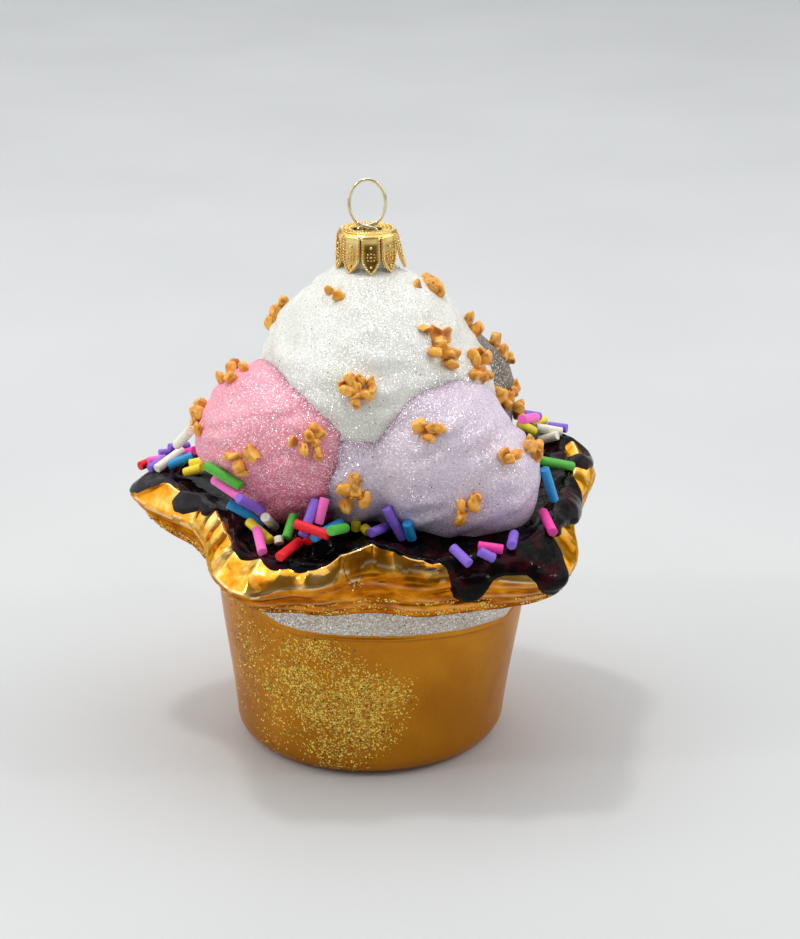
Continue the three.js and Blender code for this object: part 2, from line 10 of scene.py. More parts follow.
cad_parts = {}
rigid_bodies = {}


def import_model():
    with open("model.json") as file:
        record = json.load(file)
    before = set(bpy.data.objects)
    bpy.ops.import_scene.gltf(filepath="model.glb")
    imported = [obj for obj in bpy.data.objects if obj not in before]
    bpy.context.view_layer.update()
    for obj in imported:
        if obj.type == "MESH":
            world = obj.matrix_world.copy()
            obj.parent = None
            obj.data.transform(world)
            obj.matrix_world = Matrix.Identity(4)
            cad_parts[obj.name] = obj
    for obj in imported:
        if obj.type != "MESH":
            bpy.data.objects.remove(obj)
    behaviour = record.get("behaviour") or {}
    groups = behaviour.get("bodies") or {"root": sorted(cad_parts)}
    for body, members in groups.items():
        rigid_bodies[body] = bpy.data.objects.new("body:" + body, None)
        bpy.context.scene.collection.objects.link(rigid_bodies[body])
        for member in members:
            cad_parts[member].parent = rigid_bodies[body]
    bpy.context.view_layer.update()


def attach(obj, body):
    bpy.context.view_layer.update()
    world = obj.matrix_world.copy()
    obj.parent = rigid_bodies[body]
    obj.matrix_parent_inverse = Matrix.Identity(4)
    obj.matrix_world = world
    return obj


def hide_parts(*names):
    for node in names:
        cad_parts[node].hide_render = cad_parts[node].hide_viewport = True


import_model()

# ------------------------------------------------------------------ camera, floor and light
# The ornament stands on a pale sheet under a wide soft light that comes from above, from
# behind and from the left, so that its front falls gently into shade. The camera looks down
# on it from the front through a long lens.

PICTURE_WIDTH, PICTURE_HEIGHT = 800, 939
SENSOR = 36.0
FOCAL_PIXELS = 2250.0
CAMERA_AIM = Vector((0.0065, 0.0, 0.0616))
CAMERA_DISTANCE = 0.504
CAMERA_DROP = math.radians(20.5)

FLOOR_HALF = 1.6
FLOOR_COLOUR = (207, 209, 210)
FLOOR_SHADE = (202, 204, 205)
BACKDROP_DISTANCE = 1.1
BACKDROP_ROUND = 0.35
BACKDROP_HEIGHT = 1.2

# place, aim, width, height, watts, colour of each soft light
SOFT_LIGHTS = {
    "overhead_window": ((-0.05, 0.10, 1.10), (0.0, 0.0, 0.06), 1.3, 1.2, 3.5, (1.0, 0.995, 0.985)),
    "back_window": ((-0.15, 1.25, 0.85), (0.0, 0.65, 0.0), 1.5, 0.8, 3.7, (0.99, 0.995, 1.0)),
    "left_window": ((-1.00, -0.05, 0.55), (0.0, 0.0, 0.05), 1.2, 1.0, 2.4, (1.0, 0.985, 0.96)),
    "right_window": ((0.95, 0.00, 0.55), (0.0, 0.0, 0.05), 1.1, 0.9, 2.2, (0.99, 0.99, 1.0)),
    "key_lamp": ((-0.16, 0.02, 0.86), (0.0, 0.0, 0.05), 0.08, 0.08, 1.3, (1.0, 0.985, 0.955)),
    "left_lamp": ((-0.55, -0.30, 0.60), (0.0, 0.0, 0.05), 0.07, 0.07, 0.5, (1.0, 0.985, 0.955)),
    "right_lamp": ((0.55, -0.22, 0.62), (0.0, 0.0, 0.05), 0.07, 0.07, 0.5, (1.0, 0.99, 0.98)),
}
# the room glows evenly, but for a darker side toward the front and a little above
ROOM_GLOW = 0.88
ROOM_DARK_SIDE = 0.16
ROOM_DARK_TOWARD = (0.02, -0.80, 0.55)
ROOM_DARK_SPREAD = (0.50, 0.94)  # cosine of the angle from it where the dimming starts and ends
ROOM_COLOUR = (0.985, 0.992, 1.0)


def paint_colour(red, green, blue):
    """A colour of the 0 to 255 scale as the linear colour that a shader takes."""
    shares = [value / 255 for value in (red, green, blue)]
    linear = [s / 12.92 if s <= 0.04045 else ((s + 0.055) / 1.055) ** 2.4 for s in shares]
    return (*linear, 1.0)


def as_value(value):
    """A paint colour where the value is a triple of the 0 to 255 scale."""
    return paint_colour(*value) if isinstance(value, tuple) and max(value) > 1 else value


def add_node(tree, kind, inputs=None, **settings):
    """A node of a shader or geometry tree, with its settings, and its sockets set or linked."""
    made = tree.nodes.new(kind)
    for name, value in settings.items():
        setattr(made, name, value)
    for name, value in (inputs or {}).items():
        if isinstance(value, bpy.types.NodeSocket):
            tree.links.new(value, made.inputs[name])
        else:
            made.inputs[name].default_value = value
    return made


def new_finish(name, **constants):
    """A material with one surface shader whose named sockets hold these values."""
    material = bpy.data.materials.new(name)
    material.use_nodes = True
    tree = material.node_tree
    surface = tree.nodes["Principled BSDF"]
    for socket, value in constants.items():
        surface.inputs[socket.replace("_", " ")].default_value = as_value(value)
    return material, tree, surface


def shade(tree, surface, **sockets):
    """Links colours, numbers or a normal into the surface shader."""
    for socket, source in sockets.items():
        tree.links.new(source, surface.inputs[socket.replace("_", " ")])


def cloudy(tree, size, detail=3.0, roughness=0.5, stretch=(1, 1, 1)):
    """Soft noise whose lumps are about this many metres, on the object's own coordinates."""
    place = add_node(tree, "ShaderNodeTexCoord").outputs["Object"]
    scaled = add_node(tree, "ShaderNodeMapping", {"Vector": place, "Scale": stretch})
    look = {"Scale": 1 / size, "Detail": detail, "Roughness": roughness}
    made = add_node(tree, "ShaderNodeTexNoise", {"Vector": scaled.outputs["Vector"], **look})
    return made.outputs["Fac"]


def given(tree, name, part="Fac"):
    """A number, or the Color, that the mesh carries for each of its points."""
    return add_node(tree, "ShaderNodeAttribute", attribute_name=name).outputs[part]


def ramp(tree, factor, stops, interpolation="LINEAR"):
    """The colour, or grey, that a factor has between these (place, colour) stops."""
    made = add_node(tree, "ShaderNodeValToRGB", {"Fac": factor})
    made.color_ramp.interpolation = interpolation
    elements = made.color_ramp.elements
    while len(elements) < len(stops):
        elements.new(0.5)
    for element, (place, colour) in zip(elements, stops):
        element.position = place
        element.color = as_value(colour) if isinstance(colour, tuple) else (colour, colour, colour, 1.0)
    return made.outputs["Color"]


def blend_colour(tree, factor, under, over, way="MIX"):
    """One colour turned into another by the factor."""
    inputs = {0: factor, 6: as_value(under), 7: as_value(over)}
    return add_node(tree, "ShaderNodeMix", inputs, data_type="RGBA", blend_type=way).outputs[2]


def calculate(tree, way, first, second=0.0, third=0.0, clamp=False):
    """One arithmetic step on numbers or sockets."""
    inputs = {0: first, 1: second, 2: third}
    return add_node(tree, "ShaderNodeMath", inputs, operation=way, use_clamp=clamp).outputs[0]


def raised(tree, height, depth, normal=None):
    """A normal that follows a height from 0 to 1, for relief of this many metres."""
    inputs = {"Height": height, "Distance": depth, "Strength": 1.0}
    if normal is not None:
        inputs["Normal"] = normal
    return add_node(tree, "ShaderNodeBump", inputs).outputs["Normal"]


def new_object(name, mesh):
    made = bpy.data.objects.new(name, mesh)
    bpy.context.scene.collection.objects.link(made)
    return made


def grid_faces(rows, columns, closed):
    """Quads between neighbouring rows of points; closed joins the last column to the first."""
    row = np.arange(rows - 1)[:, None]
    column = np.arange(columns if closed else columns - 1)[None, :]
    following = (column + 1) % columns
    corners = (
        row * columns + column,
        row * columns + following,
        (row + 1) * columns + following,
        (row + 1) * columns + column,
    )
    return np.stack(np.broadcast_arrays(*corners), -1).reshape(-1, 4)


def new_mesh(name, points, faces, material=None, smooth=True):
    """A mesh of points in millimetres."""
    mesh = bpy.data.meshes.new(name)
    mesh.from_pydata((np.asarray(points, float) * 0.001).tolist(), [], [list(f) for f in faces])
    if material is not None:
        mesh.materials.append(material)
    mesh.polygons.foreach_set("use_smooth", [smooth] * len(mesh.polygons))
    mesh.update()
    return mesh


def add_camera():
    data = bpy.data.cameras.new("camera")
    data.sensor_width = SENSOR
    data.lens = FOCAL_PIXELS / max(PICTURE_WIDTH, PICTURE_HEIGHT) * SENSOR
    camera = new_object("camera", data)
    forward = Vector((0, math.cos(CAMERA_DROP), -math.sin(CAMERA_DROP)))
    camera.location = CAMERA_AIM - forward * CAMERA_DISTANCE
    camera.rotation_euler = forward.to_track_quat("-Z", "Y").to_euler()
    bpy.context.scene.camera = camera


def sight_line(across, down):
    """Start and direction of the line of sight through a place in the picture."""
    forward = Vector((0, math.cos(CAMERA_DROP), -math.sin(CAMERA_DROP)))
    upright = Vector((0, math.sin(CAMERA_DROP), math.cos(CAMERA_DROP)))
    start = (CAMERA_AIM - forward * CAMERA_DISTANCE) * 1000
    side = Vector((across - PICTURE_WIDTH / 2, 0, 0))
    way = forward * FOCAL_PIXELS + side - upright * (down - PICTURE_HEIGHT / 2)
    return start, way.normalized()


def add_floor():
    """A sheet that lies flat and rises behind in a round sweep."""
    profile = [(-FLOOR_HALF, 0.0), (BACKDROP_DISTANCE, 0.0)]
    for step in range(1, 13):
        angle = math.radians(90 * step / 12)
        profile.append((
            BACKDROP_DISTANCE + BACKDROP_ROUND * math.sin(angle),
            BACKDROP_ROUND * (1 - math.cos(angle)),
        ))
    profile.append((BACKDROP_DISTANCE + BACKDROP_ROUND, BACKDROP_HEIGHT))
    points = [(1000 * x, 1000 * y, 1000 * z) for y, z in profile for x in (-FLOOR_HALF, FLOOR_HALF)]
    finish, tree, surface = new_finish("pale_sheet", Roughness=0.9)
    tone = ramp(tree, cloudy(tree, 0.12, 2.0), [(0.3, FLOOR_SHADE), (0.7, FLOOR_COLOUR)])
    shade(tree, surface, Base_Color=tone, Normal=raised(tree, cloudy(tree, 0.0009, 2.0), 0.00005))
    sheet = new_object("sheet", new_mesh("sheet", points, grid_faces(len(profile), 2, False), finish))


def add_lights():
    for name, (place, aim, width, height, watts, colour) in SOFT_LIGHTS.items():
        data = bpy.data.lights.new(name, "AREA")
        data.shape = "RECTANGLE"
        data.size, data.size_y = width, height
        data.energy = watts
        data.color = colour
        light = new_object(name, data)
        light.location = place
        light.rotation_euler = (Vector(aim) - Vector(place)).to_track_quat("-Z", "Y").to_euler()
    world = bpy.data.worlds.new("room")
    world.use_nodes = True
    tree = world.node_tree
    toward = add_node(tree, "ShaderNodeTexCoord").outputs["Generated"]
    dark = Vector(ROOM_DARK_TOWARD).normalized()
    facing = add_node(tree, "ShaderNodeVectorMath", {0: toward, 1: dark}, operation="DOT_PRODUCT")
    glow = ramp(tree, facing.outputs["Value"], [
        (ROOM_DARK_SPREAD[0], ROOM_GLOW),
        (ROOM_DARK_SPREAD[1], ROOM_DARK_SIDE),
    ], "EASE")
    background = tree.nodes["Background"]
    background.inputs["Color"].default_value = (*ROOM_COLOUR, 1.0)
    tree.links.new(glow, background.inputs["Strength"])
    bpy.context.scene.world = world


add_camera()
add_floor()
add_lights()
bpy.context.scene.view_settings.view_transform = "Standard"

# ------------------------------------------------------------------ cup
# The lower half of the blown glass body: a plain tapered cup with a flat foot. It is dipped
# in amber lacquer with pearl in it, and dried to a satin gloss. A fine moulded bead runs
# round it under the frosted band.

CUP_FOOT_RADIUS = 26.1
CUP_HEEL_HEIGHT = 4.8
CUP_PROFILE = [(30.7, 4), (31.9, 14), (33, 22), (34.6, 33), (35.4, 44.3)]  # radius, height
CUP_LEAN = (-0.45, 0.45)  # x of the axis at the foot and at the rim
CUP_STEPS = 240
CUP_FILLET_STEPS = 8
CUP_FINE = (33.0, 41.0)  # heights between which the rows are close, for the bead
CUP_FINE_ROWS = 41
CUP_ROW = 0.8
CUP_BEAD_HEIGHT = 0.22
CUP_BEAD_WIDTH = 0.35
CUP_BEAD_DROP = 0.9  # below the edge of the frosted band
CUP_RIM = CUP_PROFILE[-1][1]

# lower edge of the frosted band: bearing, height
BAND_EDGE = [
    (0, 39.5), (30, 38.2), (70, 37), (110, 37.8), (150, 38.6), (185, 40.8), (212, 40.6),
    (226, 38.4), (235, 36.9), (243, 36.4), (256, 36.6), (270, 36.7), (291, 36.1),
    (304, 35.4), (317, 34.7), (328, 33.9), (336, 35.6), (345, 38.5),
]


def bearings_of(steps):
    """Even bearings all round, in degrees."""
    return np.arange(steps) * 360 / steps


def turn_between(bearing, middle):
    """How far a bearing lies past another one, from -180 to 180 degrees."""
    return (bearing - middle + 180) % 360 - 180


def soft_noise(points, size=1.0, shift=(0, 0, 0)):
    """Soft noise at each point, with lumps of about this size."""
    return np.array([noise.noise(Vector(p) / size + Vector(shift)) for p in points])


def rim_noise(bearings, pitch, level):
    """Noise along a rim that meets itself, finer where the pitch is greater."""
    angles = np.radians(bearings)
    return soft_noise([(math.cos(a) * pitch, math.sin(a) * pitch, level) for a in angles])


def band_edge(bearing):
    places, heights = zip(*BAND_EDGE)
    return np.interp(np.asarray(bearing) % 360, places, heights, period=360)


def cup_radius(height):
    """Radius of the cup's wall, as one smooth line through its profile."""
    radii, heights = zip(*CUP_PROFILE)
    curve = np.polyfit(heights, radii, 3)
    return np.polyval(curve, height)


def cup_axis(height):
    return CUP_LEAN[0] + (CUP_LEAN[1] - CUP_LEAN[0]) * height / CUP_RIM


def turned(sections, axis_at=None):
    """A closed body from half sections at even bearings. Each runs from the axis at the bottom
    outwards, up and back to the axis at the top, as [radius, height] rows."""
    steps, rows, _ = sections.shape
    angle = np.radians(np.arange(steps) * 360 / steps)
    radius, height = sections[:, 1:-1, 0].T, sections[:, 1:-1, 1].T
    points = np.stack([radius * np.cos(angle), radius * np.sin(angle), height], -1).reshape(-1, 3)
    ends = np.array([[0, 0, sections[0, 0, 1]], [0, 0, sections[0, -1, 1]]])
    points = np.concatenate([points, ends])
    if axis_at is not None:
        points[:, 0] += axis_at(points[:, 2])
    around = np.arange(steps)
    following = (around + 1) % steps
    last = (rows - 3) * steps
    low, high = len(points) - 2, len(points) - 1
    faces = grid_faces(rows - 2, steps, True).tolist()
    faces += [[low, b, a] for a, b in zip(around.tolist(), following.tolist())]
    faces += [[high, last + a, last + b] for a, b in zip(around.tolist(), following.tolist())]
    return points, faces


def cup_finish():
    finish, tree, surface = new_finish(
        "amber_pearl_lacquer", Metallic=0.94, Specular_Tint=(255, 236, 214),
        Coat_Weight=0.2, Coat_Roughness=0.16, Coat_IOR=1.5,
    )
    drift = cloudy(tree, 0.014, 3.0)
    amber = ramp(tree, drift, [
        (0.25, (184, 113, 8)), (0.55, (198, 127, 14)), (0.8, (212, 143, 24)),
    ])
    flecks = ramp(tree, cloudy(tree, 0.0004, 1.0), [(0.3, 0.86), (0.75, 1.0)])
    colour = blend_colour(tree, 1.0, amber, flecks, "MULTIPLY")
    gloss = ramp(tree, cloudy(tree, 0.006, 4.0), [(0.2, 0.27), (0.8, 0.38)])
    waver = raised(tree, cloudy(tree, 0.011, 2.0), 0.00028)
    grain = raised(tree, cloudy(tree, 0.0005, 2.0), 0.000012, waver)
    shade(tree, surface, Base_Color=colour, Roughness=gloss, Normal=grain)
    return finish


def add_cup():
    fillet = np.radians(np.linspace(0, 90, CUP_FILLET_STEPS, endpoint=False))
    heel_radius, heel_height = cup_radius(CUP_HEEL_HEIGHT), CUP_HEEL_HEIGHT
    heel = np.stack([
        CUP_FOOT_RADIUS + (heel_radius - CUP_FOOT_RADIUS) * np.sin(fillet),
        heel_height * (1 - np.cos(fillet)),
    ], -1)
    heights = np.arange(heel_height, CUP_RIM, CUP_ROW)
    wall = np.stack([cup_radius(heights), heights], -1)
    fine = np.linspace(*CUP_FINE, CUP_FINE_ROWS)
    wall = wall[(wall[:, 1] < CUP_FINE[0]) | (wall[:, 1] > CUP_FINE[1])]
    wall = np.concatenate([wall, np.stack([cup_radius(fine), fine], -1)])
    wall = wall[np.argsort(wall[:, 1])]
    rim = [[cup_radius(CUP_RIM), CUP_RIM], [0, CUP_RIM]]
    section = np.concatenate([[[0, 0], [CUP_FOOT_RADIUS - 1.5, 0]], heel, wall, rim])
    sections = np.repeat(section[None], CUP_STEPS, 0)
    bearing = bearings_of(CUP_STEPS)
    bead_at = band_edge(bearing)[:, None] - CUP_BEAD_DROP
    away = (sections[:, :, 1] - bead_at) / CUP_BEAD_WIDTH
    on_wall = (sections[:, :, 1] > heel_height) & (sections[:, :, 1] < CUP_RIM)
    sections[:, :, 0] += np.where(on_wall, CUP_BEAD_HEIGHT * np.exp(-away**2), 0)
    points, faces = turned(sections, cup_axis)
    return new_object("cup_glass", new_mesh("cup_glass", points, faces, cup_finish()))


cup = add_cup()
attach(cup, "root")
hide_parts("cup")

# ------------------------------------------------------------------ frosted band and gold dust
# Silver-white glitter glued round the top of the cup as a band with a soft lower edge, and
# a cloud of gold glitter blown over the front left of the cup. Each flake is a little six
# sided plate that lies nearly flat on the glue.

BAND_THICKNESS = 0.22
BAND_STEPS = 360
BAND_ROWS = 16
BAND_TOP = 44.55
BAND_EDGE_RAGGED = 0.22

FLAKE_SIDES = 6
FLAKE_SIZES = (0.7, 1.3)  # least and greatest, as a share of the radius
GOLD_FLAKE = 0.0002
GOLD_PATCHES = 0.16  # how many uneven patches to a millimetre
# bearing and height of the middle of each puff, its half turn and half height, how dense
GOLD_PUFFS = [
    (264.5, 17.5, 18, 12, 1.0), (248, 22.5, 19, 13, 0.9), (226, 25, 22, 12, 0.28),
    (279, 20.5, 9, 6, 0.6), (238, 15, 36, 14, 0.18), (256, 10, 17, 8, 0.75),
]


def new_growth(name, result, **inputs):
    """A geometry tree with these named inputs and a Finish, and the sockets they come from."""
    tree = bpy.data.node_groups.new(name, "GeometryNodeTree")
    tree.interface.new_socket(result, in_out="OUTPUT", socket_type="NodeSocketGeometry")
    for label, kind in {**inputs, "Finish": "Material"}.items():
        words = label.replace("_", " ")
        tree.interface.new_socket(words, in_out="INPUT", socket_type=f"NodeSocket{kind}")
    return tree, tree.nodes.new("NodeGroupInput").outputs


def carried(tree, name, kind="FLOAT"):
    """A number or vector that each point of the base carries, in a geometry tree."""
    made = add_node(tree, "GeometryNodeInputNamedAttribute", {"Name": name}, data_type=kind)
    return made.outputs["Attribute"]


def end_growth(tree, socket, sockets, smooth=False):
    """Makes the instances real and coats them with the Finish."""
    real = add_node(tree, "GeometryNodeRealizeInstances", {"Geometry": socket})
    if smooth:
        real = add_node(tree, "GeometryNodeSetShadeSmooth", {"Geometry": real.outputs[0]})
    inputs = {"Geometry": real.outputs[0], "Material": sockets["Finish"]}
    coated = add_node(tree, "GeometryNodeSetMaterial", inputs)
    tree.links.new(coated.outputs[0], tree.nodes.new("NodeGroupOutput").inputs[0])
    return tree


def glitter_tree():
    """Scatters flakes on a surface, more where its attribute "glitter" is high."""
    tree, sockets = new_growth(
        "glitter", "Flakes", Surface="Geometry", Flakes_per_square_metre="Float", Least_gap="Float",
        Flake_radius="Float", Tilt="Float", Stand_off="Float", Seed="Int",
    )
    dots = add_node(tree, "GeometryNodeDistributePointsOnFaces", {
        "Mesh": sockets["Surface"],
        "Distance Min": sockets["Least gap"],
        "Density Max": sockets["Flakes per square metre"],
        "Density Factor": carried(tree, "glitter"),
        "Seed": sockets["Seed"],
    }, distribute_method="POISSON")
    away = {0: dots.outputs["Normal"], "Scale": sockets["Stand off"]}
    away = add_node(tree, "ShaderNodeVectorMath", away, operation="SCALE")
    lifted = {"Geometry": dots.outputs["Points"], "Offset": away.outputs["Vector"]}
    lifted = add_node(tree, "GeometryNodeSetPosition", lifted)
    limits = {2: calculate(tree, "MULTIPLY", sockets["Tilt"], -1.0), 3: sockets["Tilt"]}
    index = add_node(tree, "GeometryNodeInputIndex").outputs[0]
    lean = {"Seed": sockets["Seed"], **limits}
    lean = add_node(tree, "FunctionNodeRandomValue", lean, data_type="FLOAT").outputs[1]
    side = {"ID": index, "Seed": 11, **limits}
    side = add_node(tree, "FunctionNodeRandomValue", side, data_type="FLOAT").outputs[1]
    tilt = add_node(tree, "ShaderNodeCombineXYZ", {"X": lean, "Y": side})
    turn = {"Rotation": dots.outputs["Rotation"], "Rotate By": tilt.outputs[0]}
    turn = add_node(tree, "FunctionNodeRotateRotation", turn, rotation_space="LOCAL")
    plate = {"Vertices": FLAKE_SIDES, "Radius": sockets["Flake radius"]}
    plate = add_node(tree, "GeometryNodeMeshCircle", plate, fill_type="NGON")
    size = {"Seed": 5, 2: FLAKE_SIZES[0], 3: FLAKE_SIZES[1]}
    size = add_node(tree, "FunctionNodeRandomValue", size, data_type="FLOAT")
    flakes = add_node(tree, "GeometryNodeInstanceOnPoints", {
        "Points": lifted.outputs[0],
        "Instance": plate.outputs["Mesh"],
        "Rotation": turn.outputs[0],
        "Scale": size.outputs[1],
    })
    return end_growth(tree, flakes.outputs[0], sockets)


def plain_mesh(piece):
    """The mesh of a piece as its modifiers leave it."""
    depsgraph = bpy.context.evaluated_depsgraph_get()
    return bpy.data.meshes.new_from_object(
        piece.evaluated_get(depsgraph), preserve_all_data_layers=True, depsgraph=depsgraph,
    )


def worked(piece, name, kind, **settings):
    """The piece with one modifier applied to it."""
    modifier = piece.modifiers.new(name, kind)
    for setting, value in settings.items():
        setattr(modifier, setting, value)
    mesh = plain_mesh(piece)
    piece.modifiers.clear()
    piece.data = mesh
    return piece


def grown_by(tree, base, name, **settings):
    """The plain mesh that a geometry tree makes from a base object, as a new object."""
    sockets = {
        item.name: item.identifier
        for item in tree.interface.items_tree
        if item.in_out == "INPUT"
    }
    modifier = base.modifiers.new(tree.name, "NODES")
    modifier.node_group = tree
    for setting, value in settings.items():
        modifier[sockets[setting.replace("_", " ")]] = value
    bpy.context.view_layer.update()
    mesh = plain_mesh(base)
    mesh.name = name
    base.modifiers.remove(modifier)
    return new_object(name, mesh)


def set_number(mesh, name, values):
    """Writes one number for each point of a mesh."""
    layer = mesh.attributes.get(name) or mesh.attributes.new(name, "FLOAT", "POINT")
    layer.data.foreach_set("value", np.asarray(values, np.float32).ravel())


def mesh_points(mesh):
    """The points of a mesh in millimetres."""
    points = np.zeros(len(mesh.vertices) * 3, np.float32)
    mesh.vertices.foreach_get("co", points)
    return points.reshape(-1, 3).astype(float) * 1000


def flake_finish(name, bright, deep):
    """Foil: each flake reflects as a little mirror, and some are painted dark, as painted shade of flakes
    turned away.
    """
    finish, tree, surface = new_finish(name, Metallic=0.4, Roughness=0.22)
    place = add_node(tree, "ShaderNodeTexCoord").outputs["Object"]
    cells = add_node(tree, "ShaderNodeTexWhiteNoise", noise_dimensions="3D")
    snapped = add_node(
        tree,
        "ShaderNodeVectorMath",
        {0: place, 1: (0.0004, 0.0004, 0.0004)},
        operation="SNAP",
    )
    tree.links.new(snapped.outputs[0], cells.inputs["Vector"])
    # painted shade: some flakes darker, as if turned away from the light
    colour = ramp(tree, cells.outputs["Value"], [(0.06, deep), (0.3, bright)])
    shade(tree, surface, Base_Color=colour)
    return finish


def puff_share(bearing, height, puff):
    """How dense a puff of glitter is at a place; it thins out past its edge."""
    middle, level, half_turn, half_height, dense = puff
    across = turn_between(bearing, middle) / half_turn
    away = np.hypot(across, (height - level) / half_height)
    return dense * np.clip((1.25 - away) / 0.75, 0, 1)


def add_gold_dust():
    points = mesh_points(cup.data)
    bearing = np.degrees(np.arctan2(points[:, 1], points[:, 0])) % 360
    height = points[:, 2]
    uneven = np.array([noise.noise(Vector(p) * GOLD_PATCHES) for p in points])
    share = np.max([puff_share(bearing, height, puff) for puff in GOLD_PUFFS], axis=0)
    share *= np.clip(1 + 0.9 * uneven, 0, 1.6)
    share[(height < 1.2) | (height > band_edge(bearing) - 1.2)] = 0
    set_number(cup.data, "glitter", np.clip(share, 0, 1))
    dust = grown_by(
        glitter_tree(),
        cup,
        "gold_dust",
        Flakes_per_square_metre=1.15e7,
        Least_gap=0.00027,
        Flake_radius=GOLD_FLAKE,
        Tilt=0.42,
        Stand_off=0.00004,
        Seed=3,
        Finish=flake_finish("gold_foil", paint_colour(255, 224, 96), paint_colour(96, 66, 16)),
    )
    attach(dust, "root")


def glittered_paint(
    name, light, full, flake, cell=0.00024, gloss=0.5, sparkle=0.42, specks=0.0, deep=None, shade_below=(),
):
    """Satin paint under fine glitter: cells of foil that each lie at their own angle. The
    paint may turn to a deeper colour toward the bottom, between two heights in metres, as
    painted shade of the lower part, which the light from above reaches less."""
    finish, tree, surface = new_finish(name)
    place = add_node(tree, "ShaderNodeTexCoord").outputs["Object"]
    cells = add_node(tree, "ShaderNodeTexVoronoi", {"Vector": place, "Scale": 1 / cell, "Randomness": 1.0})
    parts = add_node(tree, "ShaderNodeSeparateColor", {"Color": cells.outputs["Color"]})
    chosen = calculate(tree, "LESS_THAN", parts.outputs[0], sparkle)
    in_disc = calculate(tree, "LESS_THAN", cells.outputs["Distance"], 0.5)
    is_flake = calculate(tree, "MULTIPLY", chosen, in_disc)
    drift = cloudy(tree, 0.016, 2.0)
    coat = ramp(tree, drift, [(0.3, light), (0.7, full)])
    # painted shade: toward the bottom the paint turns to the deep colour
    if deep:
        height = add_node(tree, "ShaderNodeSeparateXYZ", {"Vector": place}).outputs["Z"]
        uneven = calculate(tree, "MULTIPLY_ADD", drift, 0.012, height)
        span = add_node(tree, "ShaderNodeMapRange", {
            "Value": uneven, "From Min": shade_below[0] + 0.006, "From Max": shade_below[1] + 0.006,
            "To Min": 1.0, "To Max": 0.0,
        })
        coat = blend_colour(tree, span.outputs["Result"], coat, deep)
    tone = ramp(tree, parts.outputs[1], [(0.0, 0.84), (1.0, 1.04)])
    coat = blend_colour(tree, 1.0, coat, tone, "MULTIPLY")
    # painted shade, darker where this scoop meets another
    crease_shade = given(tree, "crease_shade")
    coat = blend_colour(tree, crease_shade, coat, (150, 124, 140), "MULTIPLY")
    colour = blend_colour(tree, is_flake, coat, flake)
    glint = calculate(tree, "GREATER_THAN", parts.outputs[1], 0.88)
    glint = calculate(tree, "MULTIPLY", glint, in_disc)
    colour = blend_colour(tree, glint, colour, (255, 255, 255))
    if specks:
        is_speck = calculate(tree, "GREATER_THAN", parts.outputs[2], 1 - specks)
        is_speck = calculate(tree, "MULTIPLY", is_speck, in_disc)
        colour = blend_colour(tree, is_speck, colour, (72, 70, 72))
    metal = calculate(tree, "MULTIPLY", is_flake, 0.22)
    metal = calculate(tree, "MAXIMUM", metal, calculate(tree, "MULTIPLY", glint, 0.8))
    roughness = ramp(tree, is_flake, [(0.0, gloss), (1.0, 0.18)])
    spread = add_node(
        tree,
        "ShaderNodeVectorMath",
        {0: cells.outputs["Color"], 1: (0.5, 0.5, 0.5)},
        operation="SUBTRACT",
    )
    tilt = add_node(tree, "ShaderNodeVectorMath", {0: spread.outputs[0]}, operation="SCALE")
    reach = calculate(tree, "MULTIPLY_ADD", is_flake, 0.65, 0.10)
    tree.links.new(reach, tilt.inputs["Scale"])
    normal = add_node(tree, "ShaderNodeNewGeometry").outputs["Normal"]
    leaning = add_node(tree, "ShaderNodeVectorMath", {0: normal, 1: tilt.outputs[0]}, operation="ADD")
    unit = add_node(tree, "ShaderNodeVectorMath", {0: leaning.outputs[0]}, operation="NORMALIZE")
    shade(tree, surface, Base_Color=colour, Metallic=metal, Roughness=roughness, Normal=unit.outputs[0])
    return finish


def add_frosted_band():
    bearing = bearings_of(BAND_STEPS)
    ragged = rim_noise(bearing, 22, 0)
    low = band_edge(bearing) + BAND_EDGE_RAGGED * ragged
    share = np.linspace(0, 1, BAND_ROWS)[None, :]
    height = low[:, None] + (BAND_TOP - low[:, None]) * share
    up = (height - low[:, None])
    proud = BAND_THICKNESS * np.sqrt(np.clip(up / 0.5, 0, 1) * (2 - np.clip(up / 0.5, 0, 1)))
    outside = np.stack([cup_radius(height) + proud - 0.02 * (share == 0), height], -1)
    inner = [[cup_radius(BAND_TOP) - 1.0, BAND_TOP], [0, BAND_TOP]]
    inner = np.repeat(np.array(inner)[None], BAND_STEPS, 0)
    foot = np.stack([cup_radius(low) - 1.0, low], -1)[:, None]
    centre = np.stack([0 * low, low.mean() + 0 * low], -1)[:, None]
    points, faces = turned(np.concatenate([centre, foot, outside, inner], 1), cup_axis)
    finish = glittered_paint(
        "silver_frost",
        paint_colour(208, 200, 186),
        paint_colour(182, 172, 156),
        paint_colour(255, 252, 244),
        cell=0.0003,
        sparkle=0.6,
        specks=0.02,
    )
    band = new_object("frosted_band", new_mesh("frosted_band", points, faces, finish))
    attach(band, "root")


add_gold_dust()
add_frosted_band()

# ------------------------------------------------------------------ waffle bowl
# The rim of the glass body, moulded as a folded waffle pastry with five corners. It is
# silvered inside and lacquered amber outside, so it shines like an old gilt mirror. Its edge
# is a row of scallops, and its side shows three layers with glitter drawn along them.

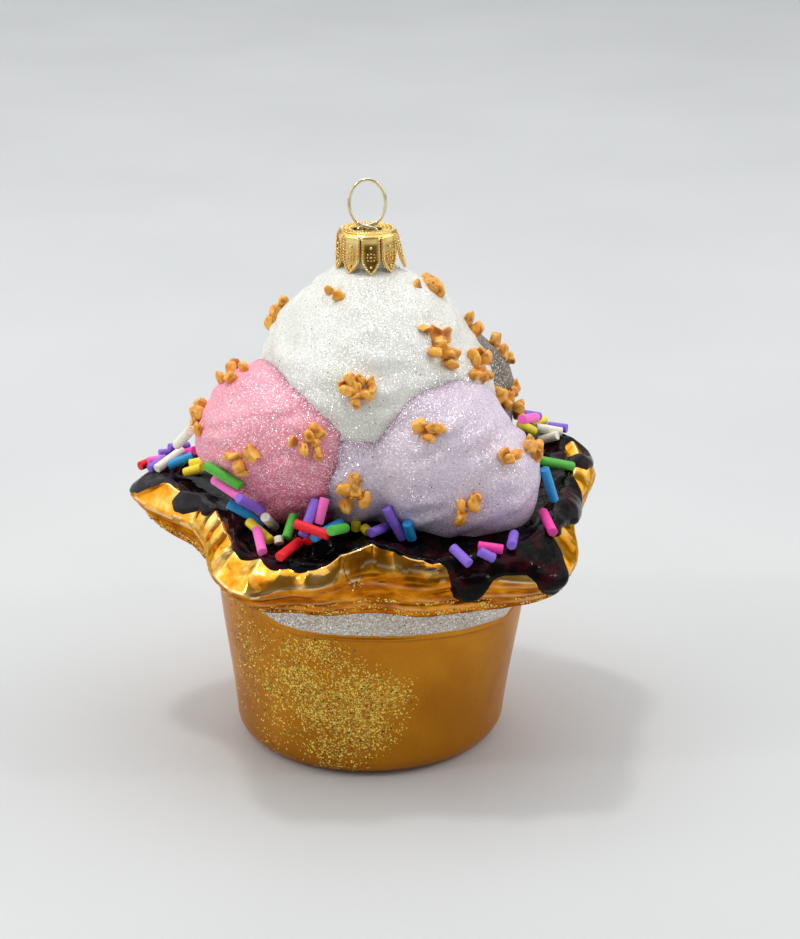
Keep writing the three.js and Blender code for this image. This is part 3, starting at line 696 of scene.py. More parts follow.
# bearing, is a corner, crest, ridge and foot, each as (radius, height)
WAFFLE_TURNS = [
    (15, True, (48.5, 63), (52.5, 57.5), (49, 50)),
    (58, False, (40, 61), (43.5, 55), (41, 48)),
    (97, True, (45, 61), (53.5, 55), (50, 49)),
    (136, False, (40, 61), (43.5, 55), (41, 48)),
    (176, True, (48, 60), (54.8, 55.5), (50.5, 50.5)),
    (203, False, (37.8, 58.5), (41.6, 53.4), (40.3, 47.4)),
    (240, True, (45, 56.3), (52.3, 50.5), (47.5, 45.3)),
    (253, False, (44.5, 56.1), (47.8, 52), (44.8, 45.1)),
    (271, False, (39.8, 60), (42.5, 54.2), (42, 45)),
    (289, False, (44, 56.9), (45.7, 53.6), (45.8, 44.9)),
    (316, True, (48, 58.4), (56.3, 52), (53.4, 46.6)),
    (347, False, (43.5, 59.5), (46.8, 56.5), (45, 49)),
]
WAFFLE_CORNER_SHARPNESS = 1.25
WAFFLE_STEPS = 720
WAFFLE_UNDERSIDE = (36.5, 44.6)
WAFFLE_FLOOR = (27.0, 50.0)
WAFFLE_LIP = (2.6, 1.3)  # from the crest inwards, and down
WAFFLE_WALL = (7.5, 6.0)
WAFFLE_SLOPE_BULGE = 0.7
WAFFLE_PEAKS = [201, 208, 216, 224, 231, 240, 246.5, 254, 262, 271, 277.5, 285, 293, 301, 309]
WAFFLE_PEAK_GAP = (7.0, 11.5)  # degrees between the peaks elsewhere
WAFFLE_DIP = 0.95  # how far the edge dips between two peaks
# bearing, and how deep the flutes of the slope are there
WAFFLE_FLUTES = [
    (20, 0.5), (190, 0.4), (200, 0.15), (226, 0.12), (240, 0.35), (256, 0.3), (300, 0.3), (320, 0.4),
]
WAFFLE_LAYERS = [(0.13, 0.22), (0.36, 0.34), (0.68, 0.42)]  # place up the side, depth of the line
WAFFLE_LINE_DEPTH = 0.9
# dents of the side and of the rest: depth, then size along and, where it differs, up
WAFFLE_SIDE_DENTS = [(0.34, 2.2, 3.4), (0.10, 0.9, 2.0)]
WAFFLE_TOP_DENTS = [(0.34, 6.5), (0.12, 2.6)]
WAFFLE_LAYER_WIDTH = 0.42
WAFFLE_LAYER_WAVER = 0.07
WAFFLE_EDGE_HIGHLIGHT = 0.38  # half width of the painted highlight along the crest and the ridge
# bearing, and how strongly the slope there is painted paler, as a painted reflection of the bright room
WAFFLE_SHEEN = [
    (5, 0.3), (20, 0.4), (60, 0.3), (97, 0.8), (136, 0.4), (160, 0.6), (176, 0.3), (190, 0.5), (205, 0.9),
    (246, 1.0), (256, 0.5), (264, 0.12), (288, 0.12), (300, 0.45), (318, 0.6), (340, 0.8),
]
WAFFLE_SEED = 4


def by_bearing(rows, bearing, column):
    """The value in one column of a table that starts with the bearing."""
    table = np.array(rows, float)
    return np.interp(np.asarray(bearing) % 360, table[:, 0] % 360, table[:, column], period=360)


def waffle_lines(bearing):
    """Crest, ridge and foot of the pastry at a bearing, each as an array of radius and height."""
    count = len(WAFFLE_TURNS)
    for i in range(count):
        start, start_corner, *start_lines = WAFFLE_TURNS[i]
        end, end_corner, *end_lines = WAFFLE_TURNS[(i + 1) % count]
        span = (end - start) % 360
        along = (bearing - start) % 360
        if along < span:
            share = (1 - math.cos(math.pi * along / span)) / 2
            share = 1 - (1 - share) ** WAFFLE_CORNER_SHARPNESS if start_corner else share
            share = share**WAFFLE_CORNER_SHARPNESS if end_corner else share
            return [np.array(a) * (1 - share) + np.array(b) * share for a, b in zip(start_lines, end_lines)]
    return [np.array(line) for line in WAFFLE_TURNS[0][2:]]


def waffle_peaks():
    """Bearings of all the scallops' peaks, with the ones of the front given in a list."""
    draw = np.random.default_rng(WAFFLE_SEED)
    peaks = list(WAFFLE_PEAKS)
    while peaks[-1] < WAFFLE_PEAKS[0] + 360 - WAFFLE_PEAK_GAP[1]:
        peaks.append(peaks[-1] + draw.uniform(*WAFFLE_PEAK_GAP))
    return peaks


def scallop(bearing, peaks):
    """How far the edge has dipped below its peaks, from 0 at a peak to 1."""
    place = (bearing - peaks[0]) % 360 + peaks[0]
    ends = [*peaks, peaks[0] + 360]
    i = int(np.searchsorted(ends, place, side="right")) - 1
    start, end = ends[i], ends[min(i + 1, len(ends) - 1)]
    share = (place - start) / max(end - start, 1e-6)
    return min(1.0, (end - start) / 11) * (1 - abs(2 * share - 1) ** 1.7)


def rounded_outline(corners, cuts, line_steps, arc_steps=5):
    """An open outline with rounded corners. cuts says how far from each inner corner the
    rounding starts, and line_steps in how many steps each straight part is drawn."""
    corners = [np.asarray(c, float) for c in corners]
    rounds = []
    for i in range(1, len(corners) - 1):
        before, here, after = corners[i - 1], corners[i], corners[i + 1]
        gap_in, gap_out = np.linalg.norm(here - before), np.linalg.norm(after - here)
        start = here + (before - here) / gap_in * min(cuts[i - 1], 0.45 * gap_in)
        end = here + (after - here) / gap_out * min(cuts[i - 1], 0.45 * gap_out)
        t = np.linspace(0, 1, arc_steps)[:, None]
        rounds.append((1 - t) ** 2 * start + 2 * t * (1 - t) * here + t**2 * end)
    pieces = [corners[0][None], *rounds, corners[-1][None]]
    outline = [pieces[0]]
    for i in range(len(pieces) - 1):
        t = np.linspace(0, 1, line_steps[i] + 1)[1:-1, None]
        outline.append(pieces[i][-1] * (1 - t) + pieces[i + 1][0] * t)
        outline.append(pieces[i + 1])
    return np.concatenate(outline)


WAFFLE_CUTS = [1.0, 0.9, 0.9, 1.2, 0.55, 1.2, 1.5, 2.0]
WAFFLE_LINE_STEPS = [2, 4, 26, 8, 8, 3, 5, 3, 1]


def waffle_outline(bearing, peaks):
    """The whole half section of the pastry, from the axis below to the axis above."""
    crest, ridge, foot = waffle_lines(bearing)
    dip = scallop(bearing, peaks)
    crest = crest + [-0.15 * dip, WAFFLE_DIP * (0.3 - dip)]
    slope = (ridge + crest) / 2
    flute = by_bearing(WAFFLE_FLUTES, bearing, 1)
    slope = slope + [WAFFLE_SLOPE_BULGE - flute * dip, WAFFLE_SLOPE_BULGE / 2 - 0.2 * dip]
    corners = [
        (0, WAFFLE_UNDERSIDE[1]),
        WAFFLE_UNDERSIDE,
        foot,
        ridge,
        slope,
        crest,
        crest - WAFFLE_LIP,
        crest - WAFFLE_WALL,
        WAFFLE_FLOOR,
        (0, WAFFLE_FLOOR[1]),
    ]
    return rounded_outline(corners, WAFFLE_CUTS, WAFFLE_LINE_STEPS)


def outward(sections):
    """Unit vectors square to each section's line, pointing out of the body."""
    along = np.gradient(sections, axis=1)
    across = np.stack([along[..., 1], -along[..., 0]], -1)
    return across / np.maximum(np.linalg.norm(across, axis=-1, keepdims=True), 1e-9)


def ground(radius, bearing, height, size, stretch=1.0):
    """Soft noise of a point that is given by radius, bearing and height."""
    angle = math.radians(bearing)
    place = (radius * math.cos(angle) / stretch, radius * math.sin(angle) / stretch, height)
    return noise.noise(Vector(place) / size)


def layer_waver(bearing, place):
    """How far a line between two layers strays up or down, as a share of the side."""
    broad = noise.noise(Vector((math.radians(bearing) * 5, place * 9, 0)))
    narrow = noise.noise(Vector((math.radians(bearing) * 17, place * 9, 4)))
    return WAFFLE_LAYER_WAVER * (broad + 0.4 * narrow)


def waffle_sections():
    """Half sections of the pastry all round, with its layers and dents; how deep each point
    lies in a line between two layers; and how strong the painted highlight is along the lip
    above such a line."""
    peaks = waffle_peaks()
    bearings = bearings_of(WAFFLE_STEPS)
    sections = np.array([waffle_outline(b, peaks) for b in bearings])
    out = outward(sections)
    feet = np.array([waffle_lines(b)[2] for b in bearings])
    ridges = np.array([waffle_lines(b)[1] for b in bearings])
    rise = (sections[..., 1] - feet[:, None, 1]) / (ridges - feet)[:, None, 1]
    rows = sections.shape[1]
    on_side = (np.arange(rows)[None, :] <= ridge_row(sections) + 1) & (rise > 0.02) & (rise < 0.96)
    line = np.zeros(rise.shape)
    shift = np.zeros(rise.shape)
    lip = np.zeros(rise.shape)
    for j, bearing in enumerate(bearings):
        for place, depth in WAFFLE_LAYERS:
            waver = layer_waver(bearing, place)
            tall = (ridges[j] - feet[j])[1]
            away = (rise[j] - place - waver) * tall / WAFFLE_LAYER_WIDTH
            depth *= 0.65 + 0.9 * noise.noise(Vector((math.radians(bearing) * 8, place * 5, 9)))
            line[j] += np.where(on_side[j], depth * np.exp(-away**2), 0)
            # painted highlight along the lip above each line
            highlight_share = max(0.0, 0.45 + 0.9 * noise.noise(Vector((math.radians(bearing) * 6, place * 7, 2))))
            lip[j] += np.where(on_side[j], highlight_share * np.exp(-(((away - 1.8) / 0.8) ** 2)), 0)
            step = 0.28 * depth / (1 + np.exp(-away * 0.8))
            shift[j] += np.where(on_side[j], step, 0)
    dent = np.zeros(rise.shape)
    for j, bearing in enumerate(bearings):
        for i in range(3, rows - 3):
            radius, height = sections[j, i]
            dents = WAFFLE_SIDE_DENTS if on_side[j, i] else WAFFLE_TOP_DENTS
            dent[j, i] = sum(deep * ground(radius, bearing, height, *size) for deep, *size in dents)
    sections = sections + out * (dent + shift - line * WAFFLE_LINE_DEPTH)[..., None]
    return sections, np.clip(line, 0, 1), np.clip(lip, 0, 1), rise


def waffle_finish():
    """Amber lacquer over silvered glass: a gold mirror. The side has deeper colours than the slope,
    partly as painted shade; the lines between the layers are browner, where the lacquer pools and
    painted shade falls; and the slope, the crest, the ridge and the lips above the lines are paler,
    as painted reflections and highlights."""
    finish, tree, surface = new_finish(
        "gilt_mirror_lacquer", Metallic=0.98, Coat_Weight=0.04, Coat_Roughness=0.03, Coat_IOR=1.45,
        Specular_Tint=(250, 214, 150),
    )
    streaks = cloudy(tree, 0.0052, 4.0, 0.6, (1, 1, 2.6))
    # the side gets deeper colours than the slope, partly as painted shade of the side that faces the dim
    # front
    side = ramp(tree, streaks, [
        (0.30, (132, 58, 2)), (0.48, (184, 102, 8)), (0.66, (226, 146, 26)),
    ])
    blotches = cloudy(tree, 0.0046, 3.0, 0.55)
    dark_slope = ramp(tree, blotches, [
        (0.30, (176, 104, 10)), (0.52, (212, 138, 24)), (0.72, (240, 172, 50)),
    ])
    # painted reflection: paler, creamier colours where the slope shows the bright room
    sheen_slope = ramp(tree, blotches, [
        (0.32, (224, 126, 16)), (0.50, (246, 176, 58)), (0.66, (255, 222, 142)),
    ])
    slope = blend_colour(tree, given(tree, "pale_sheen"), dark_slope, sheen_slope)
    amber = blend_colour(tree, given(tree, "above"), side, slope)
    # browner in the lines between the layers: lacquer pooled there, and painted shade in the grooves
    pooled_and_shaded = calculate(tree, "MULTIPLY", given(tree, "line"), 0.6, clamp=True)
    colour = blend_colour(tree, pooled_and_shaded, amber, (132, 54, 2))
    # painted highlight: cream along the crest, the ridge and the lips above the lines
    highlight_share = calculate(tree, "MULTIPLY", given(tree, "edge"), 0.85, clamp=True)
    colour = blend_colour(tree, highlight_share, colour, (255, 232, 176))
    gloss = ramp(tree, cloudy(tree, 0.003, 3.0), [(0.3, 0.09), (0.8, 0.22)])
    waver = raised(tree, cloudy(tree, 0.0034, 2.0), 0.00013)
    shade(tree, surface, Base_Color=colour, Roughness=gloss, Normal=waver)
    return finish


def ridge_row(sections):
    """The row of the pastry's widest points."""
    return int(np.argmax(sections[0, :, 0]))


def edge_highlight(sections):
    """How strong the painted highlight is: 1 along the crest and the ridge, falling to 0 beside them."""
    light = np.zeros(sections.shape[:2])
    for line, row in zip(sections, light):
        crest = int(np.argmax(line[:, 1]))
        ridge = int(np.argmax(line[:, 0] + 0.35 * line[:, 1]))
        for middle, half in ((crest, WAFFLE_EDGE_HIGHLIGHT), (ridge, 0.8 * WAFFLE_EDGE_HIGHLIGHT)):
            away = np.linalg.norm(line - line[middle], axis=1) / half
            row[:] = np.maximum(row, np.exp(-away**2))
    return light


def for_mesh(values):
    """One value for each point of a turned body, from rows of values for its sections."""
    return np.concatenate([values[:, 1:-1].T.ravel(), [0, 0]])


def add_waffle(sections, line, lip):
    points, faces = turned(sections)
    mesh = new_mesh("waffle_rim", points, faces, waffle_finish())
    rows = sections.shape[1]
    above = np.clip((np.arange(rows) - ridge_row(sections)) / 3, 0, 1)
    bearings = bearings_of(WAFFLE_STEPS)
    pale_sheen = by_bearing(WAFFLE_SHEEN, bearings, 1)
    set_number(mesh, "line", for_mesh(line))
    set_number(mesh, "above", for_mesh(np.repeat(above[None], len(sections), 0)))
    # painted reflection on the slope
    set_number(mesh, "pale_sheen", for_mesh(np.repeat(pale_sheen[:, None], rows, 1)))
    # painted highlights along the crest, the ridge and the lips
    set_number(mesh, "edge", for_mesh(np.maximum(edge_highlight(sections), 0.42 * lip)))
    waffle = new_object("waffle_rim", mesh)
    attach(waffle, "root")
    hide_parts("waffle_bowl")
    return waffle


waffle_shape, waffle_line, waffle_lip, waffle_rise = waffle_sections()
waffle = add_waffle(waffle_shape, waffle_line, waffle_lip)

# ------------------------------------------------------------------ glitter on the waffle
# Gold glitter on two thin lines of glue drawn along the layers of the rim, with a few
# blobs where the glue ran. A fine dark hair is caught in the lacquer at the front, and a few
# little chips in the lacquer show dark.

GLITTER_LINES = [(0.13, 0.16), (0.36, 0.16)]  # place up the side, half width in millimetres
GLITTER_BLOBS = [  # bearing, place up the side, radius in millimetres
    (266.5, 0.80, 1.5), (258, 0.14, 1.5), (271, 0.22, 1.2), (263, 0.04, 1.3), (279, 0.08, 1.4),
    (300, 0.22, 1.8), (288, 0.2, 1.0), (186, 0.1, 2.2), (196, 0.2, 1.4), (224, 0.12, 1.2),
    (20, 0.2, 1.6), (75, 0.3, 1.4), (110, 0.1, 1.5), (150, 0.3, 1.6),
]
HAIR = [(348, 554), (344, 563), (344.5, 572), (348.5, 580), (357, 586)]  # places in the picture
HAIR_THICKNESS = 0.14
# chips in the lacquer: place in the picture, half length and half height in millimetres
NICKS = [((418, 566), 0.9, 0.26), ((431, 569), 1.3, 0.30), ((440, 570.5), 0.6, 0.22)]
NICK_DEPTH = 0.10


def add_waffle_glitter():
    bearings = bearings_of(WAFFLE_STEPS)
    side = (waffle_rise > 0.0) & (waffle_rise < 0.97)
    side &= np.arange(waffle_rise.shape[1])[None, :] <= ridge_row(waffle_shape) + 1
    share = np.zeros(waffle_rise.shape)
    for j, bearing in enumerate(bearings):
        tall = waffle_lines(bearing)[1][1] - waffle_lines(bearing)[2][1]
        around = Vector((math.radians(bearing) * 6, 0, 0))
        for k, (place, half) in enumerate(GLITTER_LINES):
            waver = layer_waver(bearing, place)
            present = noise.noise(around * 3.1 + Vector((0, k * 7.3, 0))) + 0.35
            away = np.abs(waffle_rise[j] - place - waver) * tall
            share[j] += np.where(away < half * 2, np.clip(0.2 + 1.8 * present, 0.05, 1) * 0.9, 0)
        for blob_bearing, place, radius in GLITTER_BLOBS:
            across = math.radians(turn_between(bearing, blob_bearing)) * waffle_shape[j, :, 0]
            up = (waffle_rise[j] - place) * tall
            away = np.hypot(across, up * 1.3) / radius
            share[j] += np.clip(1.15 - away, 0, 1)
    share = np.where(side, np.clip(share, 0, 1), 0)
    set_number(waffle.data, "glitter", for_mesh(share))
    trail = grown_by(
        bpy.data.node_groups["glitter"],
        waffle,
        "waffle_glitter",
        Flakes_per_square_metre=8.5e6,
        Least_gap=0.00026,
        Flake_radius=0.00019,
        Tilt=0.6,
        Stand_off=0.00008,
        Seed=9,
        Finish=flake_finish("pale_gold_foil", paint_colour(255, 218, 104), paint_colour(92, 70, 20)),
    )
    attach(trail, "root")


def surface_tree(piece):
    points = mesh_points(piece.data)
    return BVHTree.FromPolygons(points.tolist(), [tuple(f.vertices) for f in piece.data.polygons])


def seen_on(tree, across, down):
    """The point of a surface that shows at a place in the picture, and the way it faces."""
    start, way = sight_line(across, down)
    point, normal, _, _ = tree.ray_cast(start, way)
    return point, normal


def smooth_path(points, count):
    """Even points along a soft curve through the given ones."""
    padded = np.concatenate([[2 * points[0] - points[1]], points, [2 * points[-1] - points[-2]]])
    fine = []
    for i in range(1, len(padded) - 2):
        a, b, c, d = padded[i - 1:i + 3]
        for t in np.linspace(0, 1, 24, endpoint=False):
            fine.append(0.5 * (2 * b + (c - a) * t + (2 * a - 5 * b + 4 * c - d) * t**2
                               + (3 * b - a - 3 * c + d) * t**3))
    fine = np.array(fine + [points[-1]])
    travel = np.concatenate([[0], np.cumsum(np.linalg.norm(np.diff(fine, axis=0), axis=1))])
    even = np.linspace(0, travel[-1], count)
    return np.stack([np.interp(even, travel, fine[:, k]) for k in range(fine.shape[1])], -1)


def wire(name, path, radius, sides, finish):
    """A round wire along a path, with flat closed ends."""
    along = np.gradient(path, axis=0)
    along /= np.linalg.norm(along, axis=1, keepdims=True)
    side = np.cross(along[0], (0, 1, 0.01))
    rings = []
    for place, ahead in zip(path, along):
        side = side - ahead * (side @ ahead)
        side /= np.linalg.norm(side)
        up = np.cross(ahead, side)
        angle = np.arange(sides) * 2 * math.pi / sides
        rings.append(place + radius * (np.cos(angle)[:, None] * side + np.sin(angle)[:, None] * up))
    points = np.concatenate(rings)
    faces = grid_faces(len(path), sides, True).tolist()
    faces.append(list(range(sides))[::-1])
    faces.append([len(points) - sides + i for i in range(sides)])
    return new_object(name, new_mesh(name, points, faces, finish))


def sphere_mesh(detail):
    """An even ball of unit radius, as points and triangles."""
    ball = bmesh.new()
    bmesh.ops.create_icosphere(ball, subdivisions=detail, radius=1)
    points = np.array([v.co[:] for v in ball.verts])
    faces = [[v.index for v in f.verts] for f in ball.faces]
    ball.free()
    return points, faces


def add_hair_and_nicks():
    tree = surface_tree(waffle)
    finish, nodes, surface = new_finish("burnt_lacquer", Roughness=0.35)
    shade(nodes, surface, Base_Color=ramp(nodes, cloudy(nodes, 0.0006), [
        (0.3, (34, 16, 6)),
        (0.7, (74, 40, 14)),
    ]))
    path = []
    for across, down in smooth_path(np.array(HAIR, float), 40):
        point, normal = seen_on(tree, across, down)
        path.append(point + normal * HAIR_THICKNESS / 2)
    hair = wire("lacquer_hair", smooth_path(np.array(path), 90), HAIR_THICKNESS / 2, 6, finish)
    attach(hair, "root")
    ball, ball_faces = sphere_mesh(3)
    points, faces = [], []
    for place, half_long, half_high in NICKS:
        point, normal = seen_on(tree, *place)
        along = normal.cross(Vector((0, 0, 1))).normalized()
        axes = np.array([along * half_long, normal.cross(along) * half_high, normal * NICK_DEPTH])
        faces += [[len(points) + i for i in face] for face in ball_faces]
        points += (ball @ axes + np.array(point)).tolist()
    nicks = new_object("lacquer_nicks", new_mesh("lacquer_nicks", points, faces, finish))
    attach(nicks, "root")


add_waffle_glitter()
add_hair_and_nicks()

# ------------------------------------------------------------------ scoops
# Four lumps of the same blown glass body, each like a few balls of ice cream melted into
# one. They are painted in satin colours and rolled in fine clear glitter while wet. The glass
# neck that the cap sits on rises from the white one.

SCOOPS = {
    "vanilla": {
        "centre": (0, 0.5, 84),
        "balls": [((0, 0, 0), 24), ((-1.5, -6, -4.5), 23.2), ((7.8, -3.7, -4.3), 19.6)],
    },
    "strawberry": {
        "centre": (-20.6, -13, 73.2),
        "balls": [((0, 0, 0), 17.2), ((6.5, -2.9, -1.2), 16.6)],
    },
    "blueberry": {
        "centre": (12, -18.5, 68),
        "balls": [((10.2, -0.6, -1.1), 14.6), ((1.8, 1.5, 2.7), 18.2), ((-14.8, -1.8, 1.9), 12.2)],
    },
    "chocolate": {
        "centre": (14.5, 15, 73),
        "balls": [((0, 0, 0), 18.6), ((-14, 3, -1), 16.5), ((-23, 3, -3), 15)],
    },
}
SCOOP_MELT = 0.9
SCOOP_DETAIL = 6
# direction that the soft ridges run across, how many a millimetre, and how high
SCOOP_RIDGES = {
    "vanilla": ((0.12, -0.25, 1.0), 0.41, 0.38),
    "strawberry": ((-0.25, 0.1, 1.0), 0.50, 0.24),
    "blueberry": ((-0.42, 0.1, 0.9), 0.42, 0.46),
    "chocolate": ((0.3, 0.2, 0.9), 0.5, 0.14),
}
# pressed sides: the way each faces, and its distance from the centre
SCOOP_FLATS = {"strawberry": [((-0.69, -0.25, -0.67), 13.4)]}
SCOOP_FLAT_SHARE = 0.85
SCOOP_DENTS = 0.85
SCOOP_DENT_SIZE = 11.0
# painted shade where a scoop meets another: how dark it is for each scoop, and how far it spreads
SCOOP_CREASE_SHADES = {"vanilla": 0.25, "strawberry": 0.8, "blueberry": 0.75, "chocolate": 0.5}
SCOOP_CREASE_SHADE_WIDTH = 1.5
NECK = {"radius": 4.9, "bottom": 103, "top": 115.3}
NECK_CENTRE = -0.5
COLLAR = {"height": 1.7, "reach": 11.0}  # swelling of the white scoop round the neck


def scoop_reach(name, toward):
    """How far a scoop's surface lies from its centre, toward unit vectors."""
    reaches = []
    for shift, radius in SCOOPS[name]["balls"]:
        shift = np.array(shift, float)
        along = toward @ shift
        inside = along**2 - shift @ shift + radius**2
        reaches.append(np.where(inside > 0, along + np.sqrt(np.maximum(inside, 0)), 0))
    reaches = np.array(reaches)
    highest = reaches.max(0)
    reach = highest + SCOOP_MELT * np.log(np.exp((reaches - highest) / SCOOP_MELT).sum(0))
    for square, distance in SCOOP_FLATS.get(name, []):
        beyond = reach * (toward @ np.array(square)) - distance
        kept = 1 - SCOOP_FLAT_SHARE * np.maximum(beyond, 0) / np.maximum(distance + beyond, 1e-6)
        reach = reach * kept
    return reach


def outside_scoop(name, points):
    """How far points lie outside a scoop's surface, measured from its centre."""
    away = points - np.array(SCOOPS[name]["centre"], float)
    distance = np.maximum(np.linalg.norm(away, axis=-1), 1e-6)
    return distance - scoop_reach(name, away / distance[..., None])


def scoop_points(name, toward):
    """The scoop's surface with its soft ridges and dents, and a thick lip where it lies on
    another; and how much painted shade each point gets where it meets another scoop."""
    centre = np.array(SCOOPS[name]["centre"], float)
    points = centre + toward * scoop_reach(name, toward)[:, None]
    across, pitch, height = SCOOP_RIDGES[name]
    across = np.array(across) / np.linalg.norm(across)
    wander = soft_noise(points, 9)
    fade = soft_noise(points, 7, (5, 1, 2))
    lump = soft_noise(points, 3.2)
    ridge = np.sin((points @ across) * pitch * 2 * math.pi / 2.2 + wander * 3.5)
    rise = height * ridge * np.clip(0.5 + fade * 1.5, 0, 1) + 0.18 * lump + 0.3 * wander
    rise += SCOOP_DENTS * soft_noise(points, SCOOP_DENT_SIZE, (2, 7, 4))
    if name == "vanilla":
        from_neck = np.hypot(points[:, 0] - NECK_CENTRE, points[:, 1]) / COLLAR["reach"]
        rise += np.where(points[:, 2] > centre[2], COLLAR["height"] * np.exp(-from_neck**4), 0)
    # painted shade where the scoop meets another
    crease_shade = np.zeros(len(points))
    for other in SCOOPS:
        if other != name:
            near = outside_scoop(other, points)
            rise += 0.5 * np.exp(-((near - 1.1) / 1.4) ** 2) * (0.7 + 0.6 * lump)
            crease_shade = np.maximum(crease_shade, np.exp(-(np.maximum(near, 0) / SCOOP_CREASE_SHADE_WIDTH) ** 2))
    return points + toward * rise[:, None], crease_shade * SCOOP_CREASE_SHADES[name]


# deep is painted shade: the colour the paint turns to toward the bottom, fully below the first of the two
# heights after it
SCOOP_PAINTS = {
    "vanilla": dict(
        light=(238, 239, 232), full=(224, 225, 214), flake=(255, 255, 252),
        specks=0.012, deep=(228, 226, 210), shade_below=(0.070, 0.090),
    ),
    "strawberry": dict(
        light=(252, 170, 186), full=(244, 148, 170), flake=(255, 212, 224),
        specks=0.006, deep=(206, 72, 110), shade_below=(0.059, 0.082),
    ),
    "blueberry": dict(
        light=(224, 210, 224), full=(206, 188, 208), flake=(250, 240, 252),
        specks=0.010, deep=(190, 168, 192), shade_below=(0.058, 0.070),
    ),
    "chocolate": dict(
        light=(114, 98, 82), full=(88, 74, 62), flake=(206, 196, 182),
        sparkle=0.3, specks=0.004,
    ),
}


def add_scoops():
    toward, faces = sphere_mesh(SCOOP_DETAIL)
    for name in SCOOPS:
        finish = glittered_paint(f"{name}_glitter_paint", **SCOOP_PAINTS[name])
        points, crease_shade = scoop_points(name, toward)
        mesh = new_mesh(f"{name}_lump", points, faces, finish)
        set_number(mesh, "crease_shade", crease_shade)
        scoop = new_object(f"{name}_lump", mesh)
        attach(scoop, "root")
        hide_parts(f"{name}_scoop")


add_scoops()

# ------------------------------------------------------------------ fudge sauce
# Thick lacquer, nearly black, poured as a pool round the scoops so that it runs over the rim
# in tongues and fat drips. It is glossy and lumpy in the pool, dark red where it is thin, and
# dull charcoal where a brush dragged it over the left tip. A fainter charcoal on the right tip
# is partly a painted sheen.

SAUCE_LEVEL = 57.4
SAUCE_LEVEL_RADIUS = 27.0
SAUCE_BELOW_CREST = 0.7
SAUCE_WAVES = [(9, 0.35), (17, -0.5)]
SAUCE_WAVE_HEIGHT = 0.45
SAUCE_STEPS = WAFFLE_STEPS
SAUCE_INNER_RADIUS = 16.0
SAUCE_POOL_ROWS = 52
SAUCE_OVER_ROWS = 66
SAUCE_OVER = (-2.6, 17.0)  # stretch beyond the crest that the layer is drawn for
SAUCE_SINK = 0.55  # how deep it is buried where there is none
SAUCE_RIM_SCALE = 0.785  # millimetres along the rim for each degree
SAUCE_EVENING = 5  # steps over which the layer evens out the pastry below it
SAUCE_CLIMB = 1.2  # up the side of a scoop
SAUCE_SEED = 12
SAUCE_UNDERSIDE = 49.0  # its height, hidden in the pastry
SAUCE_TUCK = 9.0  # how far the underside's edge lies in from the pool's edge
SAUCE_LUMPS = 170
SAUCE_LUMP_RADIUS = 42.0  # distance from the axis at which the lumps are round
# the edge all round: bearing, and its reach beyond the crest along the pastry
SAUCE_EDGE = [
    (3, -2.2), (5, 2.6), (8, 4.2), (12, 4.8), (17, 5.4), (21, 4.6), (25, 2.2), (29, 1.2),
    (34, 3.4), (39, 5.2), (45, 4.4), (50, 2.0), (57, 0.6), (64, 1.6), (68, 5.6), (72, 8.0),
    (76, 6.4), (79, 1.8), (86, 0.4), (91, 2.6), (96, 4.6), (101, 3.8), (106, 1.2), (114, -0.6),
    (122, -0.4), (130, 1.0), (138, 3.2), (143, 7.0), (148, 8.4), (152, 6.2), (156, 3.2),
    (160, 5.5), (165, 8.2), (171, 9.4), (177, 8.8), (180.5, 6.4), (182, 2.0), (183.5, -3.0),
    (186.5, -4.0), (188.5, -0.5), (189.7, 3.0), (192.2, 5.3), (194.5, 5.0), (197, 3.2),
    (199.4, 1.8), (202, 2.7), (204, 2.0), (207, 0.2), (211, -0.8), (215, -1.2), (219, -1.8),
    (223, -1.2), (227, 0.3), (230.5, 1.5), (234, 1.4), (237.5, 0.4), (239.5, 0.2), (242.5, 1.2),
    (246, 2.0), (248.6, 0.3), (250.6, 1.3), (253, 1.5), (256, 0.7), (258.5, -0.7), (262, -1.2),
    (265, -0.6), (270, 0.1), (275, 0.2), (278.6, 0.9), (281.5, -0.4), (284, -0.2), (287.4, 0.7),
    (289.6, -0.2), (291.2, 1.6), (291.9, 5.2), (292.8, 8.7), (295, 10.1), (297.4, 10.1),
    (299.4, 9.2), (300.1, 7.4), (301.6, 6.0), (304, 5.9), (306.6, 6.6), (308.6, 7.4),
    (309.8, 9.6), (312, 12.9), (314.6, 15.0), (316.6, 13.6), (318.4, 9.4), (320.2, 6.2),
    (321.6, 3.4), (322.4, 1.5), (323.6, 1.4), (324.9, 2.5), (326.6, 2.9), (328.4, 2.3),
    (331, 2.8), (335.4, 3.6), (339, 5.8), (343.6, 6.6), (349, 5.8), (354, 3.8), (357.6, 1.0),
    (360.4, -1.8),
]
SAUCE_EDGE_WAVER = 0.35
# bare places: bearing, reach, half size along the rim and down it
SAUCE_BARE = [(14.0, -0.2, 3.4, 2.6)]
# bearing, thickness of the layer over the rim, width of its round edge, how lumpy it is
SAUCE_BODY = [
    (4, 0.7, 0.9, 0.5), (30, 1.0, 1.1, 0.6), (70, 1.2, 1.4, 0.8), (140, 1.2, 1.4, 0.8),
    (158, 0.8, 0.9, 0.7), (164, 0.40, 0.6, 0.4), (186, 0.40, 0.6, 0.4), (198, 0.5, 0.7, 0.6),
    (206, 0.7, 0.8, 0.9), (228, 0.7, 0.8, 0.9), (246, 0.9, 1.1, 0.9), (258, 0.8, 0.9, 0.9),
    (270, 0.6, 0.7, 0.9), (289, 0.8, 0.9, 0.8), (293, 1.4, 1.6, 0.5), (301, 0.8, 0.9, 0.25),
    (306, 0.45, 0.7, 0.2), (311, 0.7, 0.9, 0.2), (318, 0.8, 1.0, 0.2), (336, 0.9, 1.1, 0.25),
    (354, 0.9, 1.0, 0.4),
]
